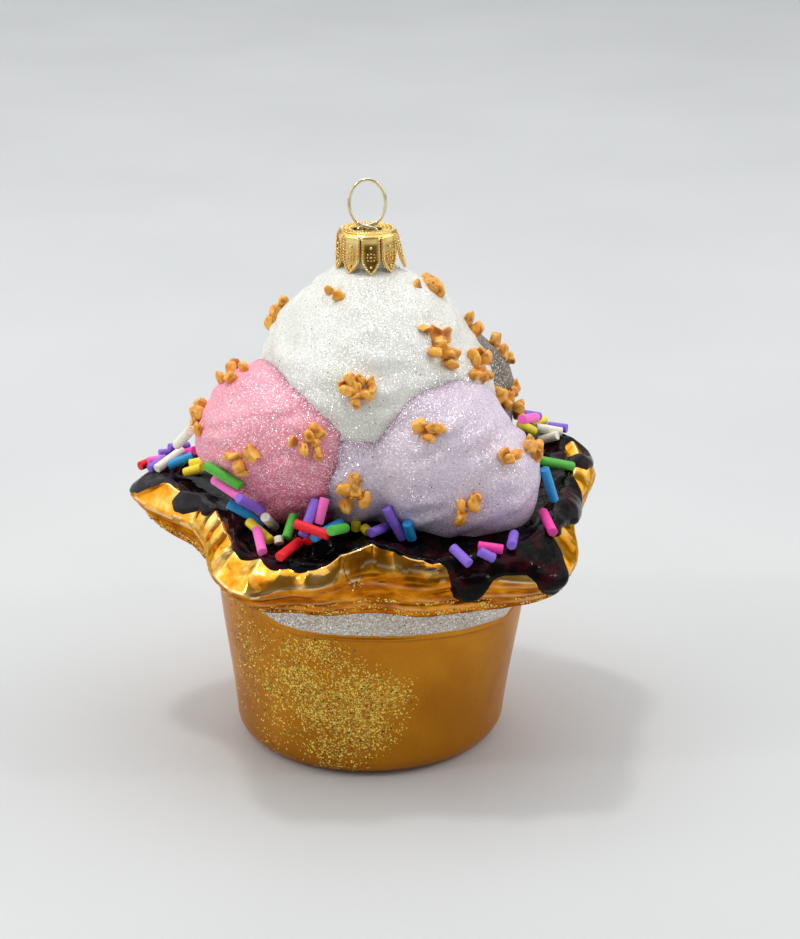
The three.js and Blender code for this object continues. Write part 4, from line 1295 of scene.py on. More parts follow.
# swellings: bearing, reach, half size along the rim and down it, height
SAUCE_SWELLS = [
    (295.9, 7.0, 4.2, 3.6, 1.4), (298.6, 1.8, 2.4, 2.2, 1.0), (313.6, 10.0, 4.2, 5.0, 0.5),
    (313.0, 4.0, 5.5, 3.0, 0.3), (246.5, 0.2, 3.0, 2.2, 0.6), (251.8, 0.4, 2.4, 1.8, 0.5),
    (72.0, 5.0, 4.0, 3.6, 1.2), (147.5, 5.5, 4.0, 3.6, 1.0), (343.0, 3.0, 5.0, 3.4, 0.4),
    (39.0, 2.6, 4.0, 3.0, 0.6), (96.0, 2.0, 4.0, 3.0, 0.6),
]
# heaps in the pool: bearing, distance from the axis, half width, height, how crumbly
SAUCE_HEAPS = [
    (248.5, 35.0, 2.6, 5.2, 1.0), (254.0, 35.2, 2.2, 4.2, 1.0), (243.0, 34.5, 2.0, 2.4, 0.6),
    (196.0, 37.0, 3.2, 0.8, 0.0), (203.0, 35.0, 2.6, 0.9, 0.0), (262.0, 35.0, 2.6, 0.7, 0.0),
    (236.0, 39.5, 2.4, 0.8, 0.0), (300.0, 41.0, 2.8, 0.5, 0.0), (10.0, 41.5, 3.4, 0.9, 0.0),
]
SAUCE_CRUMB = 0.9  # size of the crumbs where it has dried on the scoops


def pool_level(bearing, radius):
    """Height of the pool, which climbs a little where it clings to the crest."""
    crest_radius, crest_height = waffle_lines(bearing)[0]
    share = min(1.0, max(0.0, (radius - SAUCE_LEVEL_RADIUS) / (crest_radius - SAUCE_LEVEL_RADIUS)))
    climb = share * share * (3 - 2 * share)
    angle = math.radians(bearing)
    wave = sum(math.sin(angle * n + radius * out) / 2 for n, out in SAUCE_WAVES)
    return SAUCE_LEVEL + (crest_height - SAUCE_BELOW_CREST - SAUCE_LEVEL) * climb + SAUCE_WAVE_HEIGHT * wave


def beyond_crest():
    """The pastry below the layer: points and outward directions at even reaches past the
    crest, evened out along the rim."""
    reaches = np.linspace(*SAUCE_OVER, SAUCE_OVER_ROWS)
    out = outward(waffle_shape)
    points, normals = [], []
    for line, normal in zip(waffle_shape, out):
        crest_row = int(np.argmax(line[:, 1]))
        travel = np.concatenate([[0], np.cumsum(np.linalg.norm(np.diff(line, axis=0), axis=1))])
        beyond = (travel[crest_row] - travel)[::-1]
        points.append(np.stack([np.interp(reaches, beyond, line[::-1, k]) for k in (0, 1)], -1))
        normals.append(np.stack([np.interp(reaches, beyond, normal[::-1, k]) for k in (0, 1)], -1))
    points, normals = np.array(points), np.array(normals)
    spread = range(-SAUCE_EVENING, SAUCE_EVENING + 1)
    points = sum(np.roll(points, k, axis=0) for k in spread) / len(spread)
    normals = sum(np.roll(normals, k, axis=0) for k in spread)
    normals /= np.linalg.norm(normals, axis=-1, keepdims=True)
    return reaches, points, normals


def sauce_cover(bearings, reaches):
    """How far each place lies inside the sauce's edge, in millimetres; negative outside."""
    fine = np.arange(0, 360, 0.125)
    waver = rim_noise(fine, 9, 3) + 0.5 * rim_noise(fine, 31, 8)
    edge = by_bearing(SAUCE_EDGE, fine, 1) + SAUCE_EDGE_WAVER * waver
    cover = np.zeros((len(bearings), len(reaches)))
    for j, bearing in enumerate(bearings):
        across = turn_between(fine, bearing) * SAUCE_RIM_SCALE
        near = np.abs(across) < 6
        gaps = np.hypot(across[near][None, :], edge[near][None, :] - reaches[:, None])
        here = np.interp(bearing, fine, edge, period=360)
        cover[j] = np.where(reaches < here, 1, -1) * gaps.min(1)
        for place, reach, along, down in SAUCE_BARE:
            offset = turn_between(bearing, place) * SAUCE_RIM_SCALE / along
            away = (np.hypot(offset, (reaches - reach) / down) - 1) * min(along, down)
            cover[j] = np.minimum(cover[j], away)
    return cover


def sauce_sections():
    """Half sections of the sauce, and how far each point lies inside its edge."""
    bearings = bearings_of(SAUCE_STEPS)
    reaches, base, square = beyond_crest()
    cover = sauce_cover(bearings, reaches)
    thick = by_bearing(SAUCE_BODY, bearings, 1)[:, None]
    bead = by_bearing(SAUCE_BODY, bearings, 2)[:, None]
    lumpy = by_bearing(SAUCE_BODY, bearings, 3)[:, None]
    inside = np.clip(cover / bead, 0, 1)
    rise = np.sqrt(inside * (2 - inside))
    lift = np.where(cover > 0, thick * rise, SAUCE_SINK * np.clip(cover / 0.6, -1, 0))
    for place, reach, along, down, height in SAUCE_SWELLS:
        offset = turn_between(bearings, place)[:, None] * SAUCE_RIM_SCALE / along
        away = offset**2 + ((reaches[None, :] - reach) / down) ** 2
        lift += height * np.clip(1 - away, 0, 1) ** 0.7 * rise
    layer = base + square * (lift + 0.12)[..., None]
    start = layer[:, 0, 0] - 0.45
    share = np.linspace(0, 1, SAUCE_POOL_ROWS)
    radius = SAUCE_INNER_RADIUS + (start[:, None] - SAUCE_INNER_RADIUS) * share
    level = np.array([[pool_level(b, r) for r in row] for b, row in zip(bearings, radius)])
    angle = np.radians(bearings)[:, None]
    places = np.stack([radius * np.cos(angle), radius * np.sin(angle), level], -1)
    near_scoop = np.min([np.abs(outside_scoop(name, places)) for name in SCOOPS], axis=0)
    level += SAUCE_CLIMB * np.exp(-((near_scoop / 1.3) ** 2))
    crumbly = np.array([soft_noise(row, SAUCE_CRUMB) for row in places])
    level += 0.45 * crumbly * np.exp(-near_scoop / 1.2)
    for place, distance, half, height, rough in SAUCE_HEAPS:
        across = np.radians(turn_between(bearings, place))[:, None] * distance
        heap = np.exp(-(((across**2 + (radius - distance) ** 2) / half**2) ** 1.5))
        level += heap * (height + 0.9 * rough * crumbly)
    top = np.concatenate([np.stack([radius, level], -1), layer], 1)
    calm = np.concatenate([np.ones_like(level), rise * 0.4], 1) * lumpy
    top = top + upward(top) * (sauce_relief(bearings, top, base[:, :1, 0]) * calm)[..., None]
    buried = np.stack([start - SAUCE_TUCK, np.full(SAUCE_STEPS, SAUCE_UNDERSIDE)], -1)[:, None]
    floor = np.tile([[[0, SAUCE_UNDERSIDE]]], (SAUCE_STEPS, 1, 1))
    middle = np.tile([[[0, SAUCE_LEVEL]]], (SAUCE_STEPS, 1, 1))
    sections = np.concatenate([floor, buried, top[:, ::-1], middle], 1)
    inner = np.full(level.shape, SAUCE_TUCK)
    inside_edge = np.concatenate([inner, np.maximum(cover, 0)], 1)
    return sections, inside_edge[:, ::-1]


def upward(lines):
    """Unit vectors square to lines that run from the axis outwards, pointing up."""
    along = np.gradient(lines, axis=1)
    up = np.stack([-along[..., 1], along[..., 0]], -1)
    return up / np.maximum(np.linalg.norm(up, axis=-1, keepdims=True), 1e-9)


def sauce_relief(bearings, top, crest_radius):
    """Round lumps of many sizes, and a fine unevenness."""
    draw = np.random.default_rng(SAUCE_SEED)
    relief = np.zeros(top.shape[:2])
    distance = top[..., 0] - crest_radius
    for _ in range(SAUCE_LUMPS):
        bearing, place = draw.uniform(0, 360), draw.uniform(-12, 1.5)
        size, height = draw.uniform(0.9, 2.4), draw.uniform(0.25, 1.0)
        across = np.radians(turn_between(bearings, bearing))[:, None] * SAUCE_LUMP_RADIUS
        near = np.abs(across[:, 0]) < 2.5 * size
        away = (across[near] ** 2 + (distance[near] - place) ** 2) / size**2
        relief[near] += height * np.exp(-(away**1.5))
    for j, bearing in enumerate(bearings):
        for i, (radius, height) in enumerate(top[j]):
            relief[j, i] += 0.22 * ground(radius, bearing, height, 2.6)
    return relief


def evened(sections, passes, first, last):
    """Evens out rows first to last with their neighbours, along and across."""
    for _ in range(passes):
        middle = sections[:, first:last]
        near = (
            sections[:, first - 1:last - 1]
            + sections[:, first + 1:last + 1]
            + np.roll(middle, 1, axis=0)
            + np.roll(middle, -1, axis=0)
        )
        sections[:, first:last] = 0.5 * middle + 0.125 * near
    return sections


def fudge_finish():
    finish, tree, surface = new_finish("fudge_lacquer", Specular_IOR_Level=0.085)
    reach = given(tree, "dull")
    patchy = ramp(tree, cloudy(tree, 0.003, 3.0), [(0.35, 0.55), (0.65, 1.0)])
    dull = calculate(tree, "MULTIPLY", reach, patchy, clamp=True)
    thin = ramp(tree, cloudy(tree, 0.0042, 2.0), [(0.52, 0.0), (0.70, 1.0)])
    thin = calculate(tree, "MULTIPLY", thin, calculate(tree, "SUBTRACT", 1.0, reach, clamp=True))
    colour = blend_colour(tree, thin, (8, 5, 6), (50, 6, 14))
    # dull charcoal: paint on the left tip, and partly a painted sheen on the right tip
    colour = blend_colour(tree, dull, colour, (66, 62, 66))
    gloss = ramp(tree, dull, [(0.0, 0.06), (1.0, 0.30)])
    ripple = raised(tree, cloudy(tree, 0.0016, 3.0), 0.00015)
    shade(tree, surface, Base_Color=colour, Roughness=gloss, Normal=ripple)
    return finish


def add_sauce():
    sections, inside_edge = sauce_sections()
    sections = evened(sections, 2, 4, sections.shape[1] - 2)
    points, faces = turned(sections)
    bearings = bearings_of(SAUCE_STEPS)[:, None]
    # charcoal paint dragged over the left tip
    charcoal_and_sheen = np.clip(1.3 - np.abs(bearings - 180) / 22, 0, 1)
    # a fainter charcoal on the right tip, partly a painted sheen
    charcoal_and_sheen = np.maximum(charcoal_and_sheen, 0.28 * np.clip(1.2 - np.abs(bearings - 14) / 14, 0, 1))
    dull = charcoal_and_sheen * (inside_edge < 8.5) * np.clip(1.6 - inside_edge / 3.2, 0, 1)
    dull = np.clip(dull, 0, 1)
    dull = np.concatenate([np.zeros((SAUCE_STEPS, 1)), dull], 1)
    mesh = new_mesh("fudge", points, faces, fudge_finish())
    set_number(mesh, "dull", np.concatenate([dull.T.ravel(), [0, 0]]))
    sauce = new_object("fudge", mesh)
    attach(sauce, "root")
    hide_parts("fudge_sauce")
    return sauce


sauce = add_sauce()

# ------------------------------------------------------------------ sprinkles
# Rods of matt polymer clay cut from a long string, dropped into the wet lacquer, so that some
# lie flat, some lean on a scoop and some lie on each other. The front ones are placed by where
# their ends show in the picture, from the lowest up, and each rests on what is below it.

SPRINKLE_RADIUS = 1.05
SPRINKLE_EDGE = 0.14  # width of the worn edge of its ends
SPRINKLE_SINK = 0.28
SPRINKLE_LONGEST = 8.8
SPRINKLE_LIFTS = np.arange(0, 8.6, 0.5)  # how far an end may be raised toward the eye
SPRINKLE_OFF_SCOOP = 0.4  # for the ridges of the scoops
SPRINKLE_OVERLAP = 1.5
SPRINKLE_TOUCH = 0.05  # a gap this small counts as touching
SIGHT_SPAN = (400.0, 620.0)  # stretch of each line of sight that the ornament stands in
SPRINKLE_COLOURS = {
    "red": paint_colour(238, 14, 30),
    "hot_pink": paint_colour(250, 62, 172),
    "pink": paint_colour(255, 112, 200),
    "purple": paint_colour(138, 100, 218),
    "blue": paint_colour(32, 156, 224),
    "green": paint_colour(84, 188, 58),
    "yellow": paint_colour(250, 226, 40),
    "cream": paint_colour(248, 244, 226),
}
# colour, and the two ends in the picture
FRONT_SPRINKLES = [
    ("purple", (159, 454), (178, 452)), ("purple", (169, 448), (189, 446)),
    ("red", (140, 466), (150, 462)), ("pink", (148, 461.5), (164.5, 459)),
    ("purple", (149.5, 469), (166, 458)), ("hot_pink", (182.5, 454), (195, 450.5)),
    ("cream", (156.5, 469), (182.5, 450)), ("blue", (168, 466), (192.5, 456)),
    ("cream", (177, 445), (190, 431)), ("yellow", (190, 464), (204.5, 461)),
    ("yellow", (185, 472.5), (202, 467.5)), ("green", (205.5, 465), (241, 486.5)),
    ("pink", (214, 479.5), (239.5, 496.5)), ("purple", (238.5, 498), (262.5, 511)),
    ("yellow", (249, 522), (271, 541)), ("cream", (265, 517), (275, 527)),
    ("blue", (228, 503.5), (265, 523.5)), ("pink", (257, 529.5), (262.5, 552.5)),
    ("cream", (278.5, 537), (279.5, 544)), ("green", (294, 515), (286.5, 538)),
    ("red", (279, 557.5), (299.5, 541.5)), ("red", (307, 542.5), (309, 538)),
    ("purple", (316, 500), (302.5, 536)), ("pink", (325, 498), (318, 524)),
    ("blue", (341, 522.5), (313.5, 538)), ("red", (295, 523.5), (328.5, 535.5)),
    ("green", (331, 531), (345.5, 528)), ("yellow", (356, 522), (356, 530)),
    ("yellow", (364, 527.5), (368.5, 532)), ("purple", (371, 533), (387, 526.5)),
    ("purple", (386, 508), (403, 539)), ("blue", (407, 523), (412, 539)),
    ("purple", (452.5, 547.5), (469.5, 564)), ("hot_pink", (478, 546), (503, 549.5)),
    ("purple", (479.5, 551.5), (494, 558.5)), ("purple", (514, 534), (511.5, 545.5)),
    ("hot_pink", (543, 512), (553, 532.5)), ("purple", (522, 414), (538.5, 416.5)),
    ("pink", (522, 419.5), (536, 417.5)), ("yellow", (529, 423), (544.5, 420.5)),
    ("purple", (548, 426), (567, 428.5)), ("cream", (536, 427.5), (562, 432)),
    ("yellow", (520.5, 424), (533.5, 431)), ("cream", (539.5, 440.5), (557.5, 435.5)),
    ("green", (540.5, 460.5), (573, 466.5)), ("blue", (544.5, 469), (554, 500)),
]
BACK_SPRINKLES = {"from": 48, "to": 152, "count": 7, "wobble": 4, "inner": 37.5, "outer": 43.5}
BACK_ROW_SHARE = 0.4
BACK_LENGTHS = (4.5, 8.5)
BACK_SEED = 20


def drawn_numbers(seed):
    """Even random numbers from 0 to 1, the same every time for the same seed."""
    state = seed
    while True:
        state = (state * 1664525 + 1013904223) % 4294967296
        yield state / 4294967296


def back_sprinkles():
    numbers = drawn_numbers(BACK_SEED)
    rule = BACK_SPRINKLES
    names = list(SPRINKLE_COLOURS)
    rows = []
    for i in range(rule["count"]):
        share = (i + 0.5) / rule["count"]
        bearing = rule["from"] + (rule["to"] - rule["from"]) * share
        bearing += (next(numbers) - 0.5) * rule["wobble"]
        across = next(numbers) * BACK_ROW_SHARE
        across = across if i % 2 else 1 - across
        radius = rule["inner"] + (rule["outer"] - rule["inner"]) * across
        heading = next(numbers) * 180
        length = BACK_LENGTHS[0] + (BACK_LENGTHS[1] - BACK_LENGTHS[0]) * next(numbers)
        rows.append((bearing, radius, heading, length, names[(i * 3 + 1) % len(names)]))
    return rows


def rod_tree():
    """Puts a rod on every point, with its length, turn and colour from the point."""
    tree, sockets = new_growth("rods", "Rods", Places="Geometry", Rod_radius="Float", Sides="Int")
    rod = add_node(tree, "GeometryNodeMeshCylinder", {
        "Vertices": sockets["Sides"],
        "Side Segments": 6,
        "Fill Segments": 2,
        "Radius": sockets["Rod radius"],
        "Depth": 1.0,
    })
    angle = add_node(tree, "FunctionNodeEulerToRotation", {"Euler": carried(tree, "turn", "FLOAT_VECTOR")})
    size = add_node(tree, "ShaderNodeCombineXYZ", {"X": 1.0, "Y": 1.0, "Z": carried(tree, "length")})
    rods = add_node(tree, "GeometryNodeInstanceOnPoints", {
        "Points": sockets["Places"],
        "Instance": rod.outputs["Mesh"],
        "Rotation": angle.outputs[0],
        "Scale": size.outputs[0],
    })
    return end_growth(tree, rods.outputs[0], sockets)


# how many numbers a layer has for each point, its kind and the field that they go into
LAYER_KINDS = {1: ("FLOAT", "value"), 3: ("FLOAT_VECTOR", "vector"), 4: ("FLOAT_COLOR", "color")}


def place_points(name, places, **layers):
    """Loose points in millimetres that carry numbers, vectors or colours."""
    mesh = bpy.data.meshes.new(name)
    mesh.from_pydata([tuple(0.001 * c for c in place) for place in places], [], [])
    for layer, values in layers.items():
        width = np.asarray(values).reshape(len(places), -1).shape[1]
        kind, field = LAYER_KINDS[width]
        data = mesh.attributes.new(layer, kind, "POINT").data
        data.foreach_set(field, np.asarray(values, np.float32).ravel())
    return new_object(name, mesh)


def clay_finish():
    finish, tree, surface = new_finish("polymer_clay", Roughness=0.5, Subsurface_Weight=0.08)
    surface.inputs["Subsurface Radius"].default_value = (0.0008, 0.0006, 0.0005)
    body = given(tree, "colour", "Color")
    mottle = ramp(tree, cloudy(tree, 0.0009, 3.0), [(0.3, 0.92), (0.7, 1.06)])
    colour = blend_colour(tree, 1.0, body, mottle, "MULTIPLY")
    dents = raised(tree, cloudy(tree, 0.0007, 3.0), 0.00007)
    shade(tree, surface, Base_Color=colour, Normal=dents)
    return finish


def gaps_to_ground(pool, points):
    """How far points lie outside the scoops and the sauce; negative inside."""
    gaps = np.min([outside_scoop(name, points) for name in SCOOPS], axis=0) - SPRINKLE_OFF_SCOOP
    for i, point in enumerate(points):
        near, normal, _, distance = pool.find_nearest(Vector(point))
        outside = (Vector(point) - near).dot(normal) > 0
        gaps[i] = min(gaps[i], distance if outside else -distance)
    return gaps


def resting_depth(pool, start, way, gap):
    """How far along a line of sight a point comes within a gap of the ground, or nearest it,
    and how much of the gap is left there."""
    depth, best, best_depth = SIGHT_SPAN[0], 1e9, SIGHT_SPAN[0]
    while depth < SIGHT_SPAN[1]:
        above = float(gaps_to_ground(pool, np.array(start + way * depth)[None])[0]) - gap
        if above < best:
            best, best_depth = above, depth
        if above < SPRINKLE_TOUCH:
            break
        depth += max(0.2, 0.85 * above)
    return best_depth, max(best, SPRINKLE_TOUCH)


def rods_clash(upper, lower):
    """How far one rod still has to move to lie clear of another, and in front of it where
    the two cross in the picture."""
    share = np.linspace(0, 1, 9)[:, None]
    a = upper[0] * (1 - share) + upper[1] * share
    b = lower[0] * (1 - share) + lower[1] * share
    apart = np.linalg.norm(a[:, None] - b[None], axis=-1)
    eye = np.array(sight_line(0, 0)[0])
    a_far, b_far = np.linalg.norm(a - eye, axis=1), np.linalg.norm(b - eye, axis=1)
    behind = a_far[:, None] - b_far[None]
    beside = np.sqrt(np.maximum(apart**2 - behind**2, 0))
    hidden = np.where(beside < SPRINKLE_OVERLAP, behind + SPRINKLE_OVERLAP, 0).max()
    return max(0.0, 2 * SPRINKLE_RADIUS - 0.2 - apart.min(), hidden)


def settled_rod(pool, ends, placed):
    """The two ends of a rod that shows at these places in the picture and rests on the
    ground or on the rods placed before it."""
    gap = SPRINKLE_RADIUS - SPRINKLE_SINK
    lines = [sight_line(*end) for end in ends]
    rests = [resting_depth(pool, eye, way, gap) for eye, way in lines]
    # the end that truly touches holds the rod, or else the deeper one
    held = min((0, 1), key=lambda end: (round(rests[end][1], 1), -rests[end][0]))
    depths = [rests[0][0], rests[1][0]]
    (eye, way), (other_eye, other_way) = lines[held], lines[1 - held]
    nearest = (eye + way * depths[held] - other_eye).dot(other_way)
    across = (other_eye + other_way * nearest - eye - way * depths[held]).length
    slack = math.sqrt(max(0.0, SPRINKLE_LONGEST**2 - across**2))
    depths[1 - held] = min(max(depths[1 - held], nearest - slack), nearest + slack)
    share = np.linspace(0, 1, 5)[:, None]
    pairs = [(a, b) for a in SPRINKLE_LIFTS for b in SPRINKLE_LIFTS]
    best, best_miss = None, 1e9
    for lifts in sorted(pairs, key=lambda pair: (sum(pair), max(pair))):
        a, b = (
            np.array(eye + way * (depth - lift)) for (eye, way), depth, lift in zip(lines, depths, lifts)
        )
        overlong = max(0.0, np.linalg.norm(a - b) - max(SPRINKLE_LONGEST, across + 1))
        buried = max(0.0, gap - 0.15 - gaps_to_ground(pool, a * (1 - share) + b * share).min())
        clash = max((rods_clash((a, b), rod) for rod in placed), default=0)
        miss = overlong + buried + clash
        if miss < best_miss:
            best, best_miss = (a, b), miss
        if miss < 0.02:
            break
    return best


def front_rods():
    pool = surface_tree(sauce)
    placed = []
    for _, *ends in FRONT_SPRINKLES:
        placed.append(settled_rod(pool, ends, placed))
    return placed


def add_sprinkles():
    places, turns, lengths, colours = [], [], [], []
    for (colour, *_), (high, low) in zip(FRONT_SPRINKLES, front_rods()):
        along = Vector(low - high)
        places.append(tuple((high + low) / 2))
        turns.append(tuple(along.to_track_quat("Z", "Y").to_euler()))
        lengths.append(along.length * 0.001)
        colours.append(SPRINKLE_COLOURS[colour])
    for bearing, radius, heading, length, colour in back_sprinkles():
        height = pool_level(bearing, radius) + SPRINKLE_RADIUS - SPRINKLE_SINK
        angle = math.radians(bearing)
        places.append((radius * math.cos(angle), radius * math.sin(angle), height))
        across = math.radians(bearing + heading)
        along = Vector((math.cos(across), math.sin(across), 0))
        turns.append(tuple(along.to_track_quat("Z", "Y").to_euler()))
        lengths.append(length * 0.001)
        colours.append(SPRINKLE_COLOURS[colour])
    base = place_points("sprinkle_places", places, turn=turns, length=lengths, colour=colours)
    sprinkles = grown_by(
        rod_tree(),
        base,
        "sprinkles",
        Rod_radius=SPRINKLE_RADIUS * 0.001,
        Sides=20,
        Finish=clay_finish(),
    )
    bpy.data.objects.remove(base)
    return sprinkles


sprinkles = worked(
    add_sprinkles(), "edges", "BEVEL", width=SPRINKLE_EDGE * 0.001, segments=2, limit_method="ANGLE",
    angle_limit=math.radians(40),
)
sprinkles.data.polygons.foreach_set("use_smooth", [True] * len(sprinkles.data.polygons))
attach(sprinkles, "root")
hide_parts("fudge_sauce")

# ------------------------------------------------------------------ chopped nuts
# Crumbs of golden glass and resin, glued on the scoops in tight little clusters. Some are
# rounded kernels and some are curled chips, with painted shade darkening their hollows.
# The front ones are placed by where they show in the picture.

NUT_RADIUS = 1.72
NUT_SIZES = (0.8, 0.4)
NUT_STAND_OFF = 0.42
NUT_SPACING = 1.3
NUT_TURN = 137.5
NUT_SEED = 21
NUT_SHAPES = 9
FRONT_NUTS = {
    "vanilla": [
        (331, 293), (338, 298), (281, 300), (276, 306), (271, 307), (277, 313), (268, 322), (272, 316),
        (419, 288), (427, 285), (432, 290), (438, 293), (423.5, 332), (433, 334), (445, 336),
        (435, 343), (441, 349), (432, 353), (444, 353), (452, 352), (448, 362), (439, 339),
        (468.5, 320), (477, 331.5), (470, 355), (477, 354), (481, 360), (474, 361), (473, 375),
        (478.5, 372), (484.5, 374), (480, 377), (346, 383.5), (353, 380.5), (361.5, 379),
        (370, 382), (347.5, 390.5), (355.5, 388), (357.5, 395), (366, 393), (372, 389), (356.5, 403),
    ],
    "strawberry": [
        (229.5, 369), (236.5, 367), (245, 370), (224, 382), (232, 381), (196, 401), (191, 410),
        (199, 413), (193, 421), (200, 429), (294, 441.5), (307.5, 438.5), (315, 431), (315.5, 442),
        (303, 449), (315, 452), (229, 455), (238, 458), (241, 464), (243, 471), (253, 453.5),
    ],
    "blueberry": [
        (422, 431), (428, 438.5), (435, 430), (417, 428), (356.5, 478.5), (347.5, 487.5),
        (359.5, 489), (362.5, 483), (349, 502.5), (369, 497.5), (358, 495), (460.5, 504),
        (471, 502.5), (459, 513), (474, 500), (457.5, 518.5), (503.5, 455), (511, 456.5),
        (506, 460), (529, 441.5), (533, 447.5), (532, 455), (537, 451), (527, 449),
    ],
    "chocolate": [
        (494, 343), (501, 354), (505, 357), (508, 363), (494, 390.5), (499, 397.5), (505, 403),
        (511, 393), (513.5, 385), (515, 407), (518, 414), (507, 397), (527, 407),
    ],
}
# bearing and height angle from the scoop's centre, and how many
BACK_NUTS = {
    "vanilla": [(40, 45, 4), (85, 33, 6), (118, 30, 3), (110, 10, 5)],
    "strawberry": [(128, 20, 5)],
    "blueberry": [],
    "chocolate": [(30, 20, 4), (75, 40, 6), (105, 8, 4), (60, -2, 3)],
}


def unit(bearing, rise):
    bearing, rise = math.radians(bearing), math.radians(rise)
    flat = math.cos(rise)
    return Vector((flat * math.cos(bearing), flat * math.sin(bearing), math.sin(rise)))


def seen_on_scoop(name, across, down):
    """The direction from a scoop's centre to what shows at a place in the picture."""
    start, way = sight_line(across, down)
    centre = Vector(SCOOPS[name]["centre"])
    depth = (centre - start).dot(way) - 45
    best, best_depth = 1e9, depth
    for _ in range(400):
        gap = float(outside_scoop(name, np.array(start + way * depth)[None])[0])
        if gap < best - 1e-6:
            best, best_depth = gap, depth
        if gap < 0.02:
            break
        depth += max(0.15, gap * 0.8)
    return (start + way * best_depth - centre).normalized()


def clustered(name, bearing, rise, count):
    """Directions of a tight cluster of crumbs, in a sunflower pattern."""
    middle = unit(bearing, rise)
    across = Vector((0, 0, 1)).cross(middle).normalized()
    up = middle.cross(across)
    reach = float(scoop_reach(name, np.array(middle)[None])[0])
    made = []
    for i in range(count):
        spread = NUT_SPACING * math.sqrt(i + 0.2) / reach
        angle = math.radians(i * NUT_TURN + bearing)
        made.append((middle + across * math.cos(angle) * spread + up * math.sin(angle) * spread).normalized())
    return made


def nut_places():
    """Place, size and turn of every crumb."""
    numbers = drawn_numbers(NUT_SEED)
    rows = []
    for name in SCOOPS:
        centre = Vector(SCOOPS[name]["centre"])
        directions = [seen_on_scoop(name, *place) for place in FRONT_NUTS[name]]
        for cluster in BACK_NUTS[name]:
            directions += clustered(name, *cluster)
        for toward in directions:
            size = NUT_RADIUS * (NUT_SIZES[0] + next(numbers) * NUT_SIZES[1])
            turn = [next(numbers) * math.pi for _ in range(3)]
            reach = float(scoop_reach(name, np.array(toward)[None])[0]) + size * NUT_STAND_OFF
            rows.append((centre + toward * reach, size, turn))
    return rows


def crumb_mesh(index):
    """One crumb of unit size: a lumpy kernel with chipped sides, or a chip curled like a
    piece of husk. The number "hollow" is high in its dents and on the inner side of a curl,
    where painted shade darkens it."""
    draw = np.random.default_rng(100 + index)
    toward, faces = sphere_mesh(3)
    lumps = np.array([noise.noise(Vector(t) * 1.5 + Vector((index * 3.7, 0, 0))) for t in toward])
    fine = np.array([noise.noise(Vector(t) * 4.1 + Vector((0, index * 2.3, 0))) for t in toward])
    points = toward * (1 + 0.28 * lumps + 0.08 * fine)[:, None]
    # painted shade in the dents of the kernel
    hollow_shade = np.clip(-lumps * 2.2, 0, 1)
    for _ in range(4):
        cut = draw.normal(size=3)
        cut /= np.linalg.norm(cut)
        beyond = np.maximum(points @ cut - draw.uniform(0.5, 0.75), 0)
        points -= beyond[:, None] * cut * 0.9
    if index % 4 == 0:
        bend = draw.uniform(1.0, 1.5)
        thin = draw.uniform(0.36, 0.46)
        turn = points[:, 0] * bend
        radius = 1 / bend + points[:, 2] * thin
        points = np.stack([radius * np.sin(turn), points[:, 1] * 0.85, 1 / bend - radius * np.cos(turn)], -1)
        # painted shade on the inner side of the curl
        hollow_shade = np.clip(-toward[:, 2] * 1.6 - 0.2, 0, 1)
        points[:, 2] -= 0.35
    else:
        points *= np.array([1.0, draw.uniform(0.70, 0.9), draw.uniform(0.6, 0.8)])
        points[:, 2] += draw.uniform(-0.3, 0.3) * points[:, 0] ** 2
    mesh = new_mesh(f"crumb_{index}", points * 1080, faces)
    set_number(mesh, "hollow_shade", hollow_shade)
    return mesh


def crumb_tree(shapes):
    """Puts one of the crumbs on every point, with its size and turn from the point."""
    tree, sockets = new_growth("crumbs", "Crumbs", Places="Geometry", Scale_of_all="Float", Seed="Int")
    kinds = add_node(tree, "GeometryNodeCollectionInfo", {"Collection": shapes, "Separate Children": True})
    pick = {"Seed": sockets["Seed"], 4: 0, 5: len(shapes.objects) - 1}
    pick = add_node(tree, "FunctionNodeRandomValue", pick, data_type="INT")
    angle = add_node(tree, "FunctionNodeEulerToRotation", {"Euler": carried(tree, "turn", "FLOAT_VECTOR")})
    crumbs = add_node(tree, "GeometryNodeInstanceOnPoints", {
        "Points": sockets["Places"],
        "Instance": kinds.outputs[0],
        "Pick Instance": True,
        "Instance Index": pick.outputs[2],
        "Rotation": angle.outputs[0],
        "Scale": calculate(tree, "MULTIPLY", carried(tree, "size"), sockets["Scale of all"]),
    })
    return end_growth(tree, crumbs.outputs[0], sockets)


def nut_finish():
    finish, tree, surface = new_finish(
        "toasted_crumb", Roughness=0.32, Subsurface_Weight=0.12, Coat_Weight=0.2,
    )
    surface.inputs["Subsurface Radius"].default_value = (0.0012, 0.0006, 0.0002)
    toast = ramp(tree, cloudy(tree, 0.0022, 3.0), [
        (0.28, (226, 140, 28)), (0.5, (248, 176, 58)), (0.72, (255, 204, 100)),
    ])
    # painted shade, darker in the crumb's hollows
    hollow_shade = given(tree, "hollow_shade")
    colour = blend_colour(tree, calculate(tree, "MULTIPLY", hollow_shade, 0.8), toast, (160, 84, 14))
    grain = raised(tree, cloudy(tree, 0.0007, 3.0), 0.00008)
    shade(tree, surface, Base_Color=colour, Normal=grain)
    return finish


